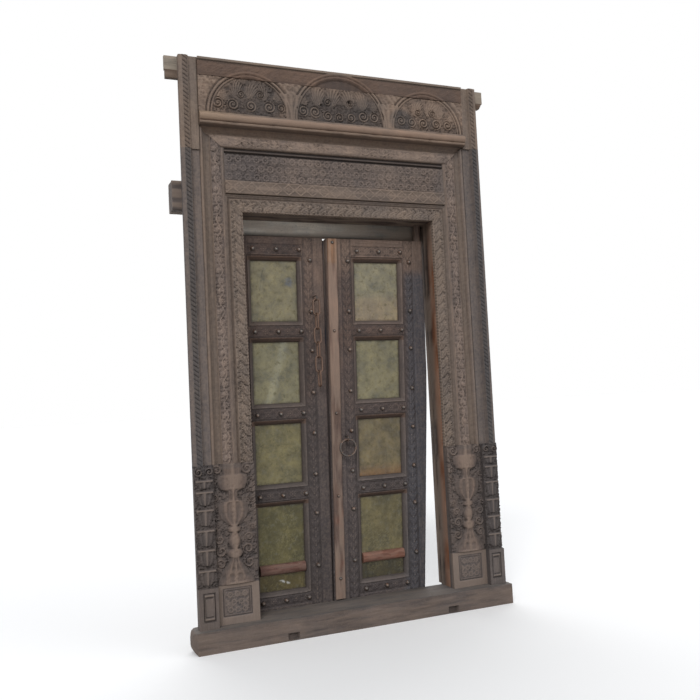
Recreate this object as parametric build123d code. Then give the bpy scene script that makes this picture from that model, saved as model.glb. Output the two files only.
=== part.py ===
from build123d import *
import os
from math import atan2, cos, degrees, hypot, radians, sin, sqrt

# Carved double door in its timber surround, standing on its sill.
# Millimetres. X runs to the right seen from the front, Y into the doorway, Z up.
# While modelling, Y = 0 is the front of the outer pilasters and X = 0 the middle of the doorway.
# MID_DEPTH then brings the origin to the middle of the footprint.

# Driving dimensions of the surround
HEIGHT = 2700
HALF_WIDTH = 791
OPENING_HALF = 507
OPENING_TOP = 1983
SILL_TOP = 98
SILL_FRONT = -46
FRAME_BACK = 200
MID_DEPTH = 87.5

# Depths of the surround's layers, measured from the front of the pilasters
PILASTER_FRONT = 0
PILASTER_BACK = 35
PLANK_BACK = 60
REBATE_DEPTH = 150
REBATE_WIDTH = 23

# Widths of the mouldings beside the opening
PILASTER_IN = 703
BAND_IN = 748
SEAM_LEFT = 2264
SEAM_RIGHT = 2372
BASE_TOP = 815
PLINTH_TOP = 275

# Heights of the boards over the opening
INNER_HEAD_TOP = 2061
RAIL_LOW = 2070
RAIL_TOP = 2133
LATTICE_TOP = 2262
OUTER_HEAD_LOW = 2290
LEDGE_LOW = 2380
LEDGE_TOP = 2442
FRIEZE_TOP = 2617
HEAD_HALF = 585
OUTER_HALF = 598

# Driving dimensions of the two leaves
LEAF_FRONT = 153
LEAF_THICK = 40
RAIL_THICK = 28
LEAF_LOW = 84
LEAF_TOP = 1897
HEEL_RADIUS = 20
PIN_RADIUS = 19
PIN_CLEARANCE = 0.6
PIN_DEPTH = 38
REBATE_FLOOR = 78
BRASS_THICK = 1.2
BOARD_LAP = 16
CHAMFER = 13
MEETING_LIP = (4, 12)
LIP_DEPTH = 16
STRIP_WIDTH = 52
STRIP_THICK = 16

# Rails of a leaf as (lowest, highest) heights between the panels
RAIL_HEIGHTS = {
    "bottom_rail": (LEAF_LOW, 178),
    "lower_rail": (582, 686),
    "middle_rail": (974, 1075),
    "upper_rail": (1376, 1478),
    "top_rail": (1780, LEAF_TOP),
}
BAR_HEIGHTS = (255, 305)
STUD_ROWS = (133, 632, 1024, 1427, 1836)
STILE_STUDS = (280, 532, 722, 922, 1122, 1330, 1526, 1784)
STUD_INSET = 8
STRIP_NAILS = (203, 605, 1013, 1425, 1874)
SPIKE_LENGTH = 22
SPIKE_HALF = 2.5
SPIKE_POINT = 0.7
SPIKE_CLEARANCE = 0.1

# Iron furniture
LINK_LENGTH = 88
LINK_WIDTH = 42
LINK_ROD = 8.4
LINK_GAP = 0.5
LINK_COUNT = 6
CHAIN_X = -132
CHAIN_TOP = 1586
CHAIN_STANDOFF = 44
RING_OUTER = 94
RING_ROD = 11
RING_EYE = (6, 872)
RING_STANDOFF = 31
STAPLE_ROD = 6
STAPLE_EYE = 18
HANG_GAP = 0.4


def block(x0, x1, y0, y1, z0, z1):
    """Box between two corners."""
    return Pos((x0 + x1) / 2, (y0 + y1) / 2, (z0 + z1) / 2) * Box(x1 - x0, y1 - y0, z1 - z0)


def polygon(points):
    """Flat face inside a closed outline."""
    return make_face(Polyline(*points, close=True))


def plan_prism(points, low, high, run=0.0):
    """Outline in plan raised from low to high; run is how far the top leans along X."""
    rise = high - low
    length = hypot(run, rise)
    face = Pos(0, 0, low) * polygon(points)
    return extrude(face, amount=length, dir=(run / length, 0, rise / length))


def front_prism(points, y_front, y_back):
    """Outline seen from the front, given as X and Z, carried from y_front back to y_back."""
    face = Plane.XZ.offset(-y_back) * polygon(points)
    return extrude(face, amount=y_back - y_front)


def relief(sketch, y_base, height):
    """Raised ornament: a front-view sketch standing out by height from the face at y_base."""
    return extrude(Plane.XZ.offset(-y_base) * sketch, amount=height)


def frustum(outline, y, far_outline, far_y):
    """Flat-sided solid between two front-view outlines with the same number of corners."""
    near = [Vector(x, y, z) for x, z in outline]
    far = [Vector(x, far_y, z) for x, z in far_outline]
    quads = [[near[i - 1], near[i], far[i], far[i - 1]] for i in range(len(near))]
    faces = [Face(Wire.make_polygon(corners, close=True)) for corners in (near, far, *quads)]
    return Solid(Shell(faces))


def mirrored(shape):
    """The same piece on the other side of the doorway."""
    return mirror(shape, about=Plane.YZ)


def lerp(a, b, t):
    return a + (b - a) * t


# Section of the architrave, from the opening outwards, as (offset from its inner edge, depth).
# Each band has a sunk ground between two lips, and its ornament stands on the ground.
INNER_BAND = [(0, 37), (4, 33), (6, 33), (7, 40), (53, 40), (54, 34), (56, 34), (61, 40), (64, 50), (68, 50), (70, 45),
              (78, 44)]
OUTER_BAND = [(0, 44), (3, 40), (4, 40), (5, 45), (46, 40), (47, 33), (49, 33), (54, 36), (57, 46), (70, 51), (86, 44),
              (88, 34), (92, 27), (97, 24), (102, 27), (105, 31)]
INNER_MIDDLE = 30
OUTER_MIDDLE = 26
LEAF_PITCH = 47
VINE_PITCH = 48

# Outlines of the carved ornament about its own middle, as (along the band, across the band)
ROLLED_LEAF = [(-21, -22), (4, -20), (21, 8), (10, 22), (-11, 4)]
VINE_LEAF = [(-20, -16), (6, -12), (18, 14), (-8, 8)]
VINE_FLOWER = [(15 * cos(radians(a)), 15 * sin(radians(a))) for a in range(0, 360, 72)]


def steps(start, stop, pitch):
    """Evenly spaced positions from start to stop, as near to the pitch as fits."""
    count = max(1, round((stop - start) / pitch))
    return [lerp(start, stop, (i + 0.5) / count) for i in range(count)]


def scattered(motif, places, y_base, height):
    """The same raised outline at many places, each given as X, Z, and whether it is flipped."""
    pieces = []
    for x, z, flip in places:
        side = -1 if flip else 1
        outline = [(x + side * u, z + v) for u, v in motif]
        pieces.append(relief(polygon(outline), y_base, height))
    return pieces


def upright(motif):
    """A band's outline turned to run up a jamb."""
    return [(v, u) for u, v in motif]


def jamb_carving():
    """Rolled leaves on the inner band of the right jamb, flowers and leaves by turns on the outer."""
    inner = OPENING_HALF + INNER_MIDDLE
    outer = OUTER_HALF + OUTER_MIDDLE
    leaves = [(inner, z, i % 2 == 1) for i, z in enumerate(steps(BASE_TOP + 8, OPENING_TOP, LEAF_PITCH))]
    vine = list(enumerate(steps(BASE_TOP + 8, OUTER_HEAD_LOW, VINE_PITCH)))
    flowers = [(outer, z, False) for i, z in vine if i % 2 == 0]
    fronds = [(outer, z, i % 4 == 1) for i, z in vine if i % 2 == 1]
    return (scattered(upright(ROLLED_LEAF), leaves, 41, 7) + scattered(VINE_FLOWER, flowers, 46, 9)
            + scattered(upright(VINE_LEAF), fronds, 46, 9))


def jamb_section():
    """Front line of the jamb plank in plan, from the opening to the pilaster."""
    inner = [(OPENING_HALF + x, y) for x, y in INNER_BAND]
    outer = [(OUTER_HALF + x, y) for x, y in OUTER_BAND]
    return inner + outer


def head_section(band, low, top):
    """The same moulding turned to run along a head, as (Z, Y) points."""
    line = [(low + z, y) for z, y in band if low + z < top]
    return line + [(top, line[-1][1])]


def make_jamb_plank():
    """Right architrave plank, mitred to the inner and the outer head, plain over its carved base."""
    outline = [(OPENING_HALF, SILL_TOP), (PILASTER_IN, SILL_TOP), (PILASTER_IN, LEDGE_LOW),
               (OUTER_HALF + LEDGE_LOW - OUTER_HEAD_LOW, LEDGE_LOW), (OUTER_HALF, OUTER_HEAD_LOW),
               (HEAD_HALF, OUTER_HEAD_LOW), (HEAD_HALF, INNER_HEAD_TOP), (OPENING_HALF, OPENING_TOP)]
    section = [(OPENING_HALF, PLANK_BACK)] + jamb_section() + [(PILASTER_IN, PLANK_BACK)]
    shaft = plan_prism(section, BASE_TOP - 10, LEDGE_LOW)
    shaft = shaft & front_prism(outline, 0, PLANK_BACK + 5)
    base = block(OPENING_HALF, PILASTER_IN, 31, PLANK_BACK, SILL_TOP, BASE_TOP)
    plinth = block(OPENING_HALF, PILASTER_IN, 22, 31, SILL_TOP, PLINTH_TOP)
    plank = shaft + base + plinth + vase_carving()
    return plank + jamb_carving() + foot_scrolls()


def foot_scrolls():
    """Rolled leaves on either side of the pot, as low six-sided bosses."""
    boss = [(cos(radians(a)), sin(radians(a))) for a in range(0, 360, 60)]
    pieces = []
    for offset, z, radius in ((62, 425, 24), (68, 372, 22), (72, 478, 20), (62, 785, 15)):
        for side in (-1, 1):
            outline = [(610 + side * offset + radius * u, z + radius * v) for u, v in boss]
            pieces.append(relief(polygon(outline), 32, 11))
    return pieces


def vase_carving():
    """Pot of plenty on the foot of the jamb: capital, neck, bowl, foot ring, baluster and leaf skirt."""
    middle = 610
    parts = [
        block(middle - 48, middle + 42, 14, 31, 770, BASE_TOP),
        block(middle - 78, middle + 66, 18, 31, 722, 760),
        block(middle - 70, middle + 58, 16, 31, 700, 714),
    ]
    neck = [(-20, 690), (-26, 645), (-62, 640), (-74, 612), (-70, 590), (-52, 562), (-28, 542), (-12, 533)]
    foot = [(-12, 533), (-32, 526), (-32, 511), (-14, 506), (-24, 480), (-26, 455), (-12, 432), (-34, 425), (-34, 408),
            (-20, 398), (-30, 370), (-58, 335), (-82, 300), (-88, PLINTH_TOP)]
    for half, height in ((neck, 22), (foot, 17)):
        outline = [(middle + x, z) for x, z in half] + [(middle - x, z) for x, z in reversed(half)]
        parts.append(relief(polygon(outline), 31, height))
    carving = parts[0]
    for piece in parts[1:]:
        carving = carving + piece
    return carving & block(OPENING_HALF, PILASTER_IN, -20, 40, SILL_TOP, BASE_TOP)


def make_jamb_post():
    """Right structural post behind the plank, rebated at the back for the leaf."""
    post = block(OPENING_HALF, 660, PLANK_BACK, FRAME_BACK, SILL_TOP, OPENING_TOP)
    rebate = block(OPENING_HALF - 1, OPENING_HALF + REBATE_WIDTH, REBATE_DEPTH, FRAME_BACK + 1, SILL_TOP - 1,
                   OPENING_TOP + 1)
    return post - rebate


def make_pilaster(seam):
    """Right outer pilaster: a carved strip beside a set-back flat, with a tiered foot."""
    section = [(PILASTER_IN, PILASTER_BACK), (PILASTER_IN, 24), (745, 24), (BAND_IN, PILASTER_FRONT),
               (774, PILASTER_FRONT), (777, 4), (HALF_WIDTH - 4, 4), (HALF_WIDTH, 8), (HALF_WIDTH, PILASTER_BACK)]
    shaft = plan_prism(section, BASE_TOP - 10, seam)
    foot = block(PILASTER_IN, HALF_WIDTH, -4, PILASTER_BACK, SILL_TOP, BASE_TOP)
    plinth = block(PILASTER_IN, HALF_WIDTH, -12, -4, SILL_TOP, PLINTH_TOP)
    recess = block(718, 768, -13, 0, 130, 256)
    field = block(728, 758, -6, 1, 142, 244)
    piece = shaft + foot + plinth - recess + field
    for low, high in ((292, 352), (372, 440), (452, 530), (545, 622), (640, 700), (712, 752)):
        cup = [(711, high), (783, high), (774, low + 14), (760, low), (734, low), (720, low + 14)]
        piece = piece + relief(polygon(cup), -4, 11)
    return piece + block(708, 788, -18, -4, 768, 806)


def make_upper_stile(seam):
    """Right stile of the frieze above the pilaster, with the same strip and a shallower flat."""
    section = [(PILASTER_IN, PILASTER_BACK), (PILASTER_IN, 16), (745, 16), (BAND_IN, PILASTER_FRONT),
               (774, PILASTER_FRONT), (777, 4), (HALF_WIDTH - 4, 4), (HALF_WIDTH, 8), (HALF_WIDTH, PILASTER_BACK)]
    return plan_prism(section, seam, HEIGHT)


def x_moulding(section, half_length):
    """Moulding along X from a (Z, Y) section."""
    face = Plane.YZ.offset(-half_length) * polygon([(y, z) for z, y in section])
    return extrude(face, amount=2 * half_length)


def make_inner_head():
    """Leaf-carved head over the opening, mitred to both jamb planks."""
    line = head_section(INNER_BAND, OPENING_TOP, INNER_HEAD_TOP)
    board = x_moulding([(OPENING_TOP, PLANK_BACK)] + line + [(INNER_HEAD_TOP, PLANK_BACK)], HEAD_HALF)
    outline = [(-OPENING_HALF, OPENING_TOP), (OPENING_HALF, OPENING_TOP), (HEAD_HALF, INNER_HEAD_TOP),
               (-HEAD_HALF, INNER_HEAD_TOP)]
    leaves = [(x, OPENING_TOP + INNER_MIDDLE, i % 2 == 1)
              for i, x in enumerate(steps(-OPENING_HALF, OPENING_HALF, LEAF_PITCH))]
    return (board & front_prism(outline, 0, PLANK_BACK + 5)) + scattered(ROLLED_LEAF, leaves, 41, 7)


def make_outer_head():
    """Vine-carved head under the ledge, mitred to both jamb planks."""
    line = head_section(OUTER_BAND, OUTER_HEAD_LOW, LEDGE_LOW)
    reach = OUTER_HALF + LEDGE_LOW - OUTER_HEAD_LOW
    board = x_moulding([(OUTER_HEAD_LOW, PLANK_BACK)] + line + [(LEDGE_LOW, PLANK_BACK)], reach)
    outline = [(-OUTER_HALF, OUTER_HEAD_LOW), (OUTER_HALF, OUTER_HEAD_LOW), (reach, LEDGE_LOW), (-reach, LEDGE_LOW)]
    middle = OUTER_HEAD_LOW + OUTER_MIDDLE
    vine = list(enumerate(steps(-OUTER_HALF, OUTER_HALF, VINE_PITCH)))
    flowers = [(x, middle, False) for i, x in vine if i % 2 == 0]
    fronds = [(x, middle, i % 4 == 1) for i, x in vine if i % 2 == 1]
    carving = scattered(VINE_FLOWER, flowers, 46, 9) + scattered(VINE_LEAF, fronds, 46, 9)
    return (board & front_prism(outline, 0, PLANK_BACK + 5)) + carving


LATTICE_PITCH = 45
LATTICE_ROWS = (2151, 2195, 2239)
PETALS = [(-19, 0), (0, -18), (19, 0), (0, 18)]
LOZENGE = [(-28, 0), (0, -24), (28, 0), (0, 24)]


def make_lattice_panel():
    """Panel of staggered flowers on a sunk ground, with two deep grooves along its top."""
    panel = block(-HEAD_HALF, HEAD_HALF, 40, PLANK_BACK, RAIL_TOP, OUTER_HEAD_LOW)
    panel = panel - block(-HEAD_HALF + 8, HEAD_HALF - 8, 39, 47, RAIL_TOP + 3, LATTICE_TOP - 3)
    places = []
    for row, z in enumerate(LATTICE_ROWS):
        shift = LATTICE_PITCH / 2 if row % 2 else 0
        places += [(x, z, False) for x in steps(-HEAD_HALF + 12 + shift, HEAD_HALF - 12 - shift, LATTICE_PITCH)]
    panel = panel + scattered(PETALS, places, 48, 8)
    panel = panel - block(-HEAD_HALF - 1, HEAD_HALF + 1, 39, 52, LATTICE_TOP, LATTICE_TOP + 8)
    return panel - block(-HEAD_HALF - 1, HEAD_HALF + 1, 39, 50, OUTER_HEAD_LOW - 9, OUTER_HEAD_LOW + 1)


def make_lattice_rail():
    """Pale carved rail with a quirk and fillet under it."""
    section = [(INNER_HEAD_TOP, PLANK_BACK), (INNER_HEAD_TOP, 42), (RAIL_LOW - 4, 40), (RAIL_LOW - 3, 50),
               (RAIL_LOW, 50), (RAIL_LOW, 36), (RAIL_LOW + 4, 33), (RAIL_TOP - 4, 33), (RAIL_TOP, 37),
               (RAIL_TOP, PLANK_BACK)]
    rail = x_moulding(section, HEAD_HALF)
    rail = rail - block(-HEAD_HALF + 6, HEAD_HALF - 6, 32, 37, RAIL_LOW + 5, RAIL_TOP - 5)
    middle = (RAIL_LOW + RAIL_TOP) / 2
    places = [(x, middle, False) for x in steps(-HEAD_HALF + 6, HEAD_HALF - 6, 61)]
    return rail + scattered(LOZENGE, places, 38, 5)


def make_ledge():
    """Round-nosed ledge under the frieze."""
    section = [(LEDGE_LOW, PLANK_BACK), (LEDGE_LOW, -2), (LEDGE_LOW + 14, -8), (LEDGE_LOW + 18, -4),
               (LEDGE_LOW + 20, -10), (LEDGE_LOW + 27, -15), (LEDGE_LOW + 36, -17), (LEDGE_LOW + 45, -14),
               (LEDGE_LOW + 50, -8), (LEDGE_LOW + 52, -2), (LEDGE_TOP, 0), (LEDGE_TOP, PLANK_BACK)]
    return x_moulding(section, PILASTER_IN)


ARCHES = ((-455, 212), (8, 256), (484, 212))
HOOD_WIDTH = 16
HOOD_FLATS = 12


def half_round(centre, radius):
    """Points along an arch that springs from the ledge, cut in flats."""
    angles = [radians(180 * i / HOOD_FLATS) for i in range(HOOD_FLATS + 1)]
    return [(centre + radius * cos(a), LEDGE_TOP + radius * sin(a)) for a in angles]


def arch_hoods():
    """Three round-arched hood ridges springing from the ledge, each with a thinner ridge inside."""
    hoods = None
    for centre, radius in ARCHES:
        for outer, width, height in ((radius, HOOD_WIDTH, 13), (radius - HOOD_WIDTH - 10, 9, 10)):
            outline = half_round(centre, outer) + half_round(centre, outer - width)[::-1]
            ridge = relief(polygon(outline), 14, height)
            hoods = ridge if hoods is None else hoods + ridge
    return hoods


def make_frieze_panel():
    """Recessed board behind the three arches with the posts between them."""
    panel = block(-PILASTER_IN, PILASTER_IN, 14, PILASTER_BACK, LEDGE_TOP, FRIEZE_TOP)
    panel = panel + block(-PILASTER_IN, PILASTER_IN, PILASTER_BACK, PLANK_BACK, LEDGE_TOP, 2590)
    for x in (-250, 270):
        post = [(x - 14, LEDGE_TOP), (x + 14, LEDGE_TOP), (x + 11, LEDGE_TOP + 60), (x + 34, LEDGE_TOP + 112),
                (x - 34, LEDGE_TOP + 112), (x - 11, LEDGE_TOP + 60)]
        panel = panel + relief(polygon(post), 14, 9)
    panel = panel + (arch_hoods() & block(-PILASTER_IN, PILASTER_IN, -10, 20, LEDGE_TOP, FRIEZE_TOP))
    return panel + frieze_carving()


def frieze_carving():
    """A row of rolled scrolls along each arch's foot and a fan of petals over them."""
    boss = [(26 * cos(radians(a)), 26 * sin(radians(a))) for a in range(0, 360, 60)]
    pieces = []
    for centre, radius in ARCHES:
        reach = radius - 62
        places = [(x, LEDGE_TOP + 46, False) for x in steps(centre - reach, centre + reach, 66)]
        pieces += scattered(boss, places, 15, 8)
        top = min(radius - 44, FRIEZE_TOP - LEDGE_TOP - 8)
        for angle in (48, 69, 90, 111, 132):
            along = (cos(radians(angle)), sin(radians(angle)))
            root = (centre + 84 * along[0], LEDGE_TOP + 84 * along[1])
            length = top / along[1] - 84 if top / along[1] < radius - 44 else radius - 44 - 84
            petal = [(0, -9), (length * 0.6, -17), (length, 0), (length * 0.6, 17), (0, 9)]
            outline = [(root[0] + u * along[0] - v * along[1], root[1] + u * along[1] + v * along[0])
                       for u, v in petal]
            pieces.append(relief(polygon(outline), 15, 7))
    return pieces


def make_frieze_rail():
    """Top rail of the frieze, carried over the arch crowns, under a plain capping fillet."""
    rail = block(-PILASTER_IN, PILASTER_IN, 4, PILASTER_BACK, FRIEZE_TOP, HEIGHT)
    capping = block(-PILASTER_IN, PILASTER_IN, 0, 4, HEIGHT - 14, HEIGHT)
    return rail + capping + (arch_hoods() & block(-PILASTER_IN, PILASTER_IN, 0, 6, FRIEZE_TOP, HEIGHT - 8))


def make_lintel_beam(right_axis):
    """Heavy lintel behind the heads, with a horn at the left and the sockets of both upper pins."""
    horn = [(-830, 1990), (-826, OPENING_TOP), (660, OPENING_TOP), (660, 2125), (-818, 2125), (-830, 2108)]
    beam = front_prism(horn, PLANK_BACK, FRAME_BACK)
    beam = beam - block(-831, -700, 150, FRAME_BACK + 1, OPENING_TOP - 1, 2126)
    for axis in (LEFT_AXIS, right_axis):
        beam = beam - axis_rod(axis, OPENING_TOP - 4, OPENING_TOP + PIN_DEPTH + 4, PIN_RADIUS + PIN_CLEARANCE)
    return beam


def make_sill(right_axis):
    """Threshold beam: worn D-shaped ends, a rebate for the leaves and two small mortises in front."""
    end = 806
    plan = [(-end, SILL_FRONT), (end, SILL_FRONT), (end, 30), (end - 20, 62), (720, 80), (700, FRAME_BACK),
            (-700, FRAME_BACK), (-720, 80), (-end - 6, 72), (-end - 14, 40), (-end - 8, 0)]
    beam = plan_prism(plan, 0, SILL_TOP)
    beam = beam - block(-OPENING_HALF - REBATE_WIDTH, OPENING_HALF + REBATE_WIDTH, REBATE_DEPTH, FRAME_BACK + 1,
                        REBATE_FLOOR, SILL_TOP + 1)
    for x in (-372, 457):
        beam = beam - block(x - 22, x + 22, SILL_FRONT - 1, SILL_FRONT + 18, 8, 26)
    for axis in (LEFT_AXIS, right_axis):
        beam = beam - axis_rod(axis, REBATE_FLOOR - PIN_DEPTH - 4, REBATE_FLOOR + 4, PIN_RADIUS + PIN_CLEARANCE)
    return beam


# The hinge line of a leaf, as X at the leaf's foot and at its head
PIN_DEPTH_Y = LEAF_FRONT + LEAF_THICK / 2
LEFT_AXIS = (-506, -506)
RIGHT_AXIS = (396, 478)


def axis_x(axis, z):
    """X of a hinge line at height z."""
    return lerp(axis[0], axis[1], (z - LEAF_LOW) / (LEAF_TOP - LEAF_LOW))


def axis_rod(axis, low, high, radius):
    """Round rod or hole along a hinge line between two heights."""
    x_low = axis_x(axis, low)
    x_high = axis_x(axis, high)
    length = hypot(x_high - x_low, high - low)
    lean = degrees(atan2(x_high - x_low, high - low))
    rod = Cylinder(radius, length, align=(Align.CENTER, Align.CENTER, Align.MIN))
    return Pos(x_low, PIN_DEPTH_Y, low) * Rot(0, lean, 0) * rod


class Leaf:
    """Edge lines of one leaf: every line gives X at its foot and at its head."""

    def __init__(self, axis, free, panel_low, panel_high):
        self.axis = axis
        self.free = free
        self.panel = (panel_low, panel_high)

    def line(self, ends, z):
        return lerp(ends[0], ends[1], (z - LEAF_LOW) / (LEAF_TOP - LEAF_LOW))

    def quad(self, left, right, low, high):
        """Front outline between two leaning lines and two heights."""
        return [(self.line(left, low), low), (self.line(right, low), low), (self.line(right, high), high),
                (self.line(left, high), high)]


# Outer edge of the right leaf's hanging stile, a plank left with its natural bow, as (X, Z).
# Its foot is cut back to the hinge line, so that the corner clears the sill as the leaf swings.
BOWED_EDGE = [(398, LEAF_LOW), (399, SILL_TOP + 4), (414, SILL_TOP + 8), (438, 434), (456, 690), (478, 1002), (490, 1212), (496, 1503), (499, LEAF_TOP)]

LEFT_LEAF = Leaf(LEFT_AXIS, (-98, -66), (-462, -441), (-232, -202))
RIGHT_LEAF = Leaf(RIGHT_AXIS, (-90, -46), (70, 112), (300, 360))


def panel_openings(leaf, margin=0):
    """Front outlines of the four panels between the rails, widened by a margin all round."""
    names = list(RAIL_HEIGHTS)
    left = [x - margin for x in leaf.panel[0]]
    right = [x + margin for x in leaf.panel[1]]
    pairs = zip(names[:-1], names[1:])
    spans = [(RAIL_HEIGHTS[below][1] - margin, RAIL_HEIGHTS[above][0] + margin) for below, above in pairs]
    return [leaf.quad(left, right, low, high) for low, high in spans]


def chamfer_cutters(leaf):
    """Wide bevels round the panels, sinking from the face of the leaf."""
    pairs = zip(panel_openings(leaf), panel_openings(leaf, CHAMFER))
    return [frustum(floor, LEAF_FRONT + CHAMFER, mouth, LEAF_FRONT) for floor, mouth in pairs]


def cut_all(piece, cutters):
    for cutter in cutters:
        piece = piece - cutter
    return piece


def make_stile(leaf, edge, panel_edge, cutters):
    """One upright of a leaf, from its outer edge to the panels, rebated behind for the boards.

    The edge is given as (X, Z) points from the foot to the head.
    """
    foot, head = panel_edge
    outline = edge + [(head, LEAF_TOP), (foot, LEAF_LOW)]
    back = LEAF_FRONT + LEAF_THICK
    piece = front_prism(outline, LEAF_FRONT, back)
    side = 1 if foot > edge[0][0] else -1
    lap = sorted([(foot - side * BOARD_LAP, head - side * BOARD_LAP), (foot + side, head + side)])
    rebate = front_prism(leaf.quad(lap[0], lap[1], LEAF_LOW - 1, LEAF_TOP + 1), LEAF_FRONT + RAIL_THICK, back + 1)
    return cut_all(piece - rebate, cutters)


def straight_edge(ends):
    """A straight leaning edge as (X, Z) points."""
    return [(ends[0], LEAF_LOW), (ends[1], LEAF_TOP)]


def add_heel(stile, axis, heel_top):
    """Gives a hanging stile its round heel and the two pins cut from the same timber."""
    stile = stile + axis_rod(axis, LEAF_LOW, heel_top, HEEL_RADIUS)
    stile = stile + axis_rod(axis, LEAF_TOP - 6, OPENING_TOP + PIN_DEPTH, PIN_RADIUS)
    return stile + axis_rod(axis, REBATE_FLOOR - PIN_DEPTH, LEAF_LOW + 6, PIN_RADIUS)


def meeting_lip(leaf):
    """Tongue along the back of the left meeting stile that closes the joint between the leaves."""
    inner = (leaf.free[0] - 1, leaf.free[1] - 1)
    outer = (leaf.free[0] + MEETING_LIP[0], leaf.free[1] + MEETING_LIP[1])
    back = LEAF_FRONT + LEAF_THICK
    return front_prism(leaf.quad(inner, outer, LEAF_LOW, LEAF_TOP - 6), back - LIP_DEPTH, back)


def make_rail(leaf, low, high, cutters):
    """One rail of a leaf between its stiles."""
    outline = leaf.quad(leaf.panel[0], leaf.panel[1], low, high)
    return cut_all(front_prism(outline, LEAF_FRONT, LEAF_FRONT + RAIL_THICK), cutters)


def make_bar(leaf):
    """Rounded bar planted across the foot of the lowest brass."""
    low, high = BAR_HEIGHTS
    middle = (low + high) / 2
    left = leaf.line(leaf.panel[0], middle) + 1
    right = leaf.line(leaf.panel[1], middle) - 1
    front = LEAF_FRONT + 2
    back = LEAF_FRONT + RAIL_THICK - BRASS_THICK
    section = [(low, back), (low, front + 8), (low + 8, front + 2), (low + 18, front - 1), (high - 18, front - 1),
               (high - 8, front + 2), (high, front + 8), (high, back)]
    face = Plane.YZ.offset(left) * polygon([(y, z) for z, y in section])
    return extrude(face, amount=right - left)


def make_brass(outline):
    """Thin sheet laid on the board inside one panel opening."""
    (x0, z0), (x1, _), (x2, z1), (x3, _) = outline
    gap = 0.5
    inset = [(x0 + gap, z0 + gap), (x1 - gap, z0 + gap), (x2 - gap, z1 - gap), (x3 + gap, z1 - gap)]
    back = LEAF_FRONT + RAIL_THICK
    return front_prism(inset, back - BRASS_THICK, back)


def make_board(leaf):
    """Boarding let into the back of a leaf between its stiles."""
    left = (leaf.panel[0][0] - BOARD_LAP, leaf.panel[0][1] - BOARD_LAP)
    right = (leaf.panel[1][0] + BOARD_LAP, leaf.panel[1][1] + BOARD_LAP)
    return front_prism(leaf.quad(left, right, LEAF_LOW, LEAF_TOP), LEAF_FRONT + RAIL_THICK, LEAF_FRONT + LEAF_THICK)


def regular_outline(x, z, radius, count):
    """Corners of a regular outline about a point."""
    angles = [radians(360 * (i + 0.5) / count) for i in range(count)]
    return [(x + radius * cos(a), z + radius * sin(a)) for a in angles]


def spike(x, z, face, half):
    """Square tapering shank of a forged nail, driven in from the face."""
    mouth = regular_outline(x, z, half * sqrt(2), 4)
    point = regular_outline(x, z, SPIKE_POINT, 4)
    return frustum(mouth, face, point, face + SPIKE_LENGTH)


def stud(x, z, face=LEAF_FRONT, radius=11, height=10):
    """Forged nail: a six-sided low dome over its square shank."""
    skirt = regular_outline(x, z, radius, 6)
    crown = regular_outline(x, z, radius / 2, 6)
    return frustum(skirt, face, crown, face - height) + spike(x, z, face, SPIKE_HALF)


def rail_studs(leaf):
    """Places of the three studs on every rail, the right-hand one driven into the stile beside it."""
    places = []
    for z in STUD_ROWS:
        left = leaf.line(leaf.panel[0], z) + STUD_INSET
        right = leaf.line(leaf.panel[1], z) + STUD_INSET
        places += [(left, z), ((left + right) / 2, z), (right, z)]
    return places


def stile_studs(leaf, lines):
    """Places of the studs along the carved bands of the stiles."""
    return [(leaf.line(line, z), z) for line in lines for z in STILE_STUDS]


def bar_section(rod):
    """Eight-sided section of a hand-forged bar, given across its flats."""
    return RegularPolygon(rod / 2, 8, major_radius=False, rotation=22.5)


def arc_corners(middle, radius, start, sweep_angle, count):
    """Corners of flat lengths that all touch an arc, the first and last of them half lengths."""
    step = sweep_angle / count
    reach = radius / cos(radians(step / 2))
    angles = [radians(start + (i + 0.5) * step) for i in range(count)]
    return [(middle[0] + reach * cos(a), middle[1] + reach * sin(a)) for a in angles]


def forged_bar(points, rod):
    """Eight-sided bar hammered round a line of (across, up) points in the XZ plane; equal ends close it."""
    line = Polyline(*[(u, 0, w) for u, w in points])
    section = Plane(line @ 0, x_dir=(0, 1, 0), z_dir=line % 0) * bar_section(rod)
    return sweep(section, path=line, transition=Transition.RIGHT)


def oval_link():
    """Forged chain link standing upright about its own middle: two bows and two straights."""
    radius = (LINK_WIDTH - LINK_ROD) / 2
    half_straight = (LINK_LENGTH - LINK_WIDTH) / 2
    corners = arc_corners((0, half_straight), radius, 0, 180, 6) + arc_corners((0, -half_straight), radius, 180, 180, 6)
    weld = (radius, 0)
    return forged_bar([weld] + corners + [weld], LINK_ROD)


def link_centres():
    """Heights of the middles of the hanging links."""
    pitch = LINK_LENGTH - 2 * LINK_ROD - LINK_GAP
    return [CHAIN_TOP - LINK_LENGTH / 2 - i * pitch for i in range(LINK_COUNT)]


def make_links():
    """Chain links, alternately flat to the door and edge on."""
    depth = LEAF_FRONT - CHAIN_STANDOFF
    link = oval_link()
    return [Pos(CHAIN_X, depth, z) * Rot(0, 0, 90 * (i % 2)) * link for i, z in enumerate(link_centres())]


def make_staple(x, leg_z, standoff):
    """Forged eye driven into the leaf: two legs joined by a bend, the lower leg at leg_z."""
    reach = (STAPLE_EYE + STAPLE_ROD) / 2
    end = standoff + LEAF_THICK - 8
    bend = arc_corners((0, reach), reach, 180 + 90, -180, 6)
    staple = forged_bar([(end, 0)] + bend + [(end, 2 * reach)], STAPLE_ROD)
    return Pos(x, LEAF_FRONT - standoff, leg_z) * Rot(0, 0, 90) * staple


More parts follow.
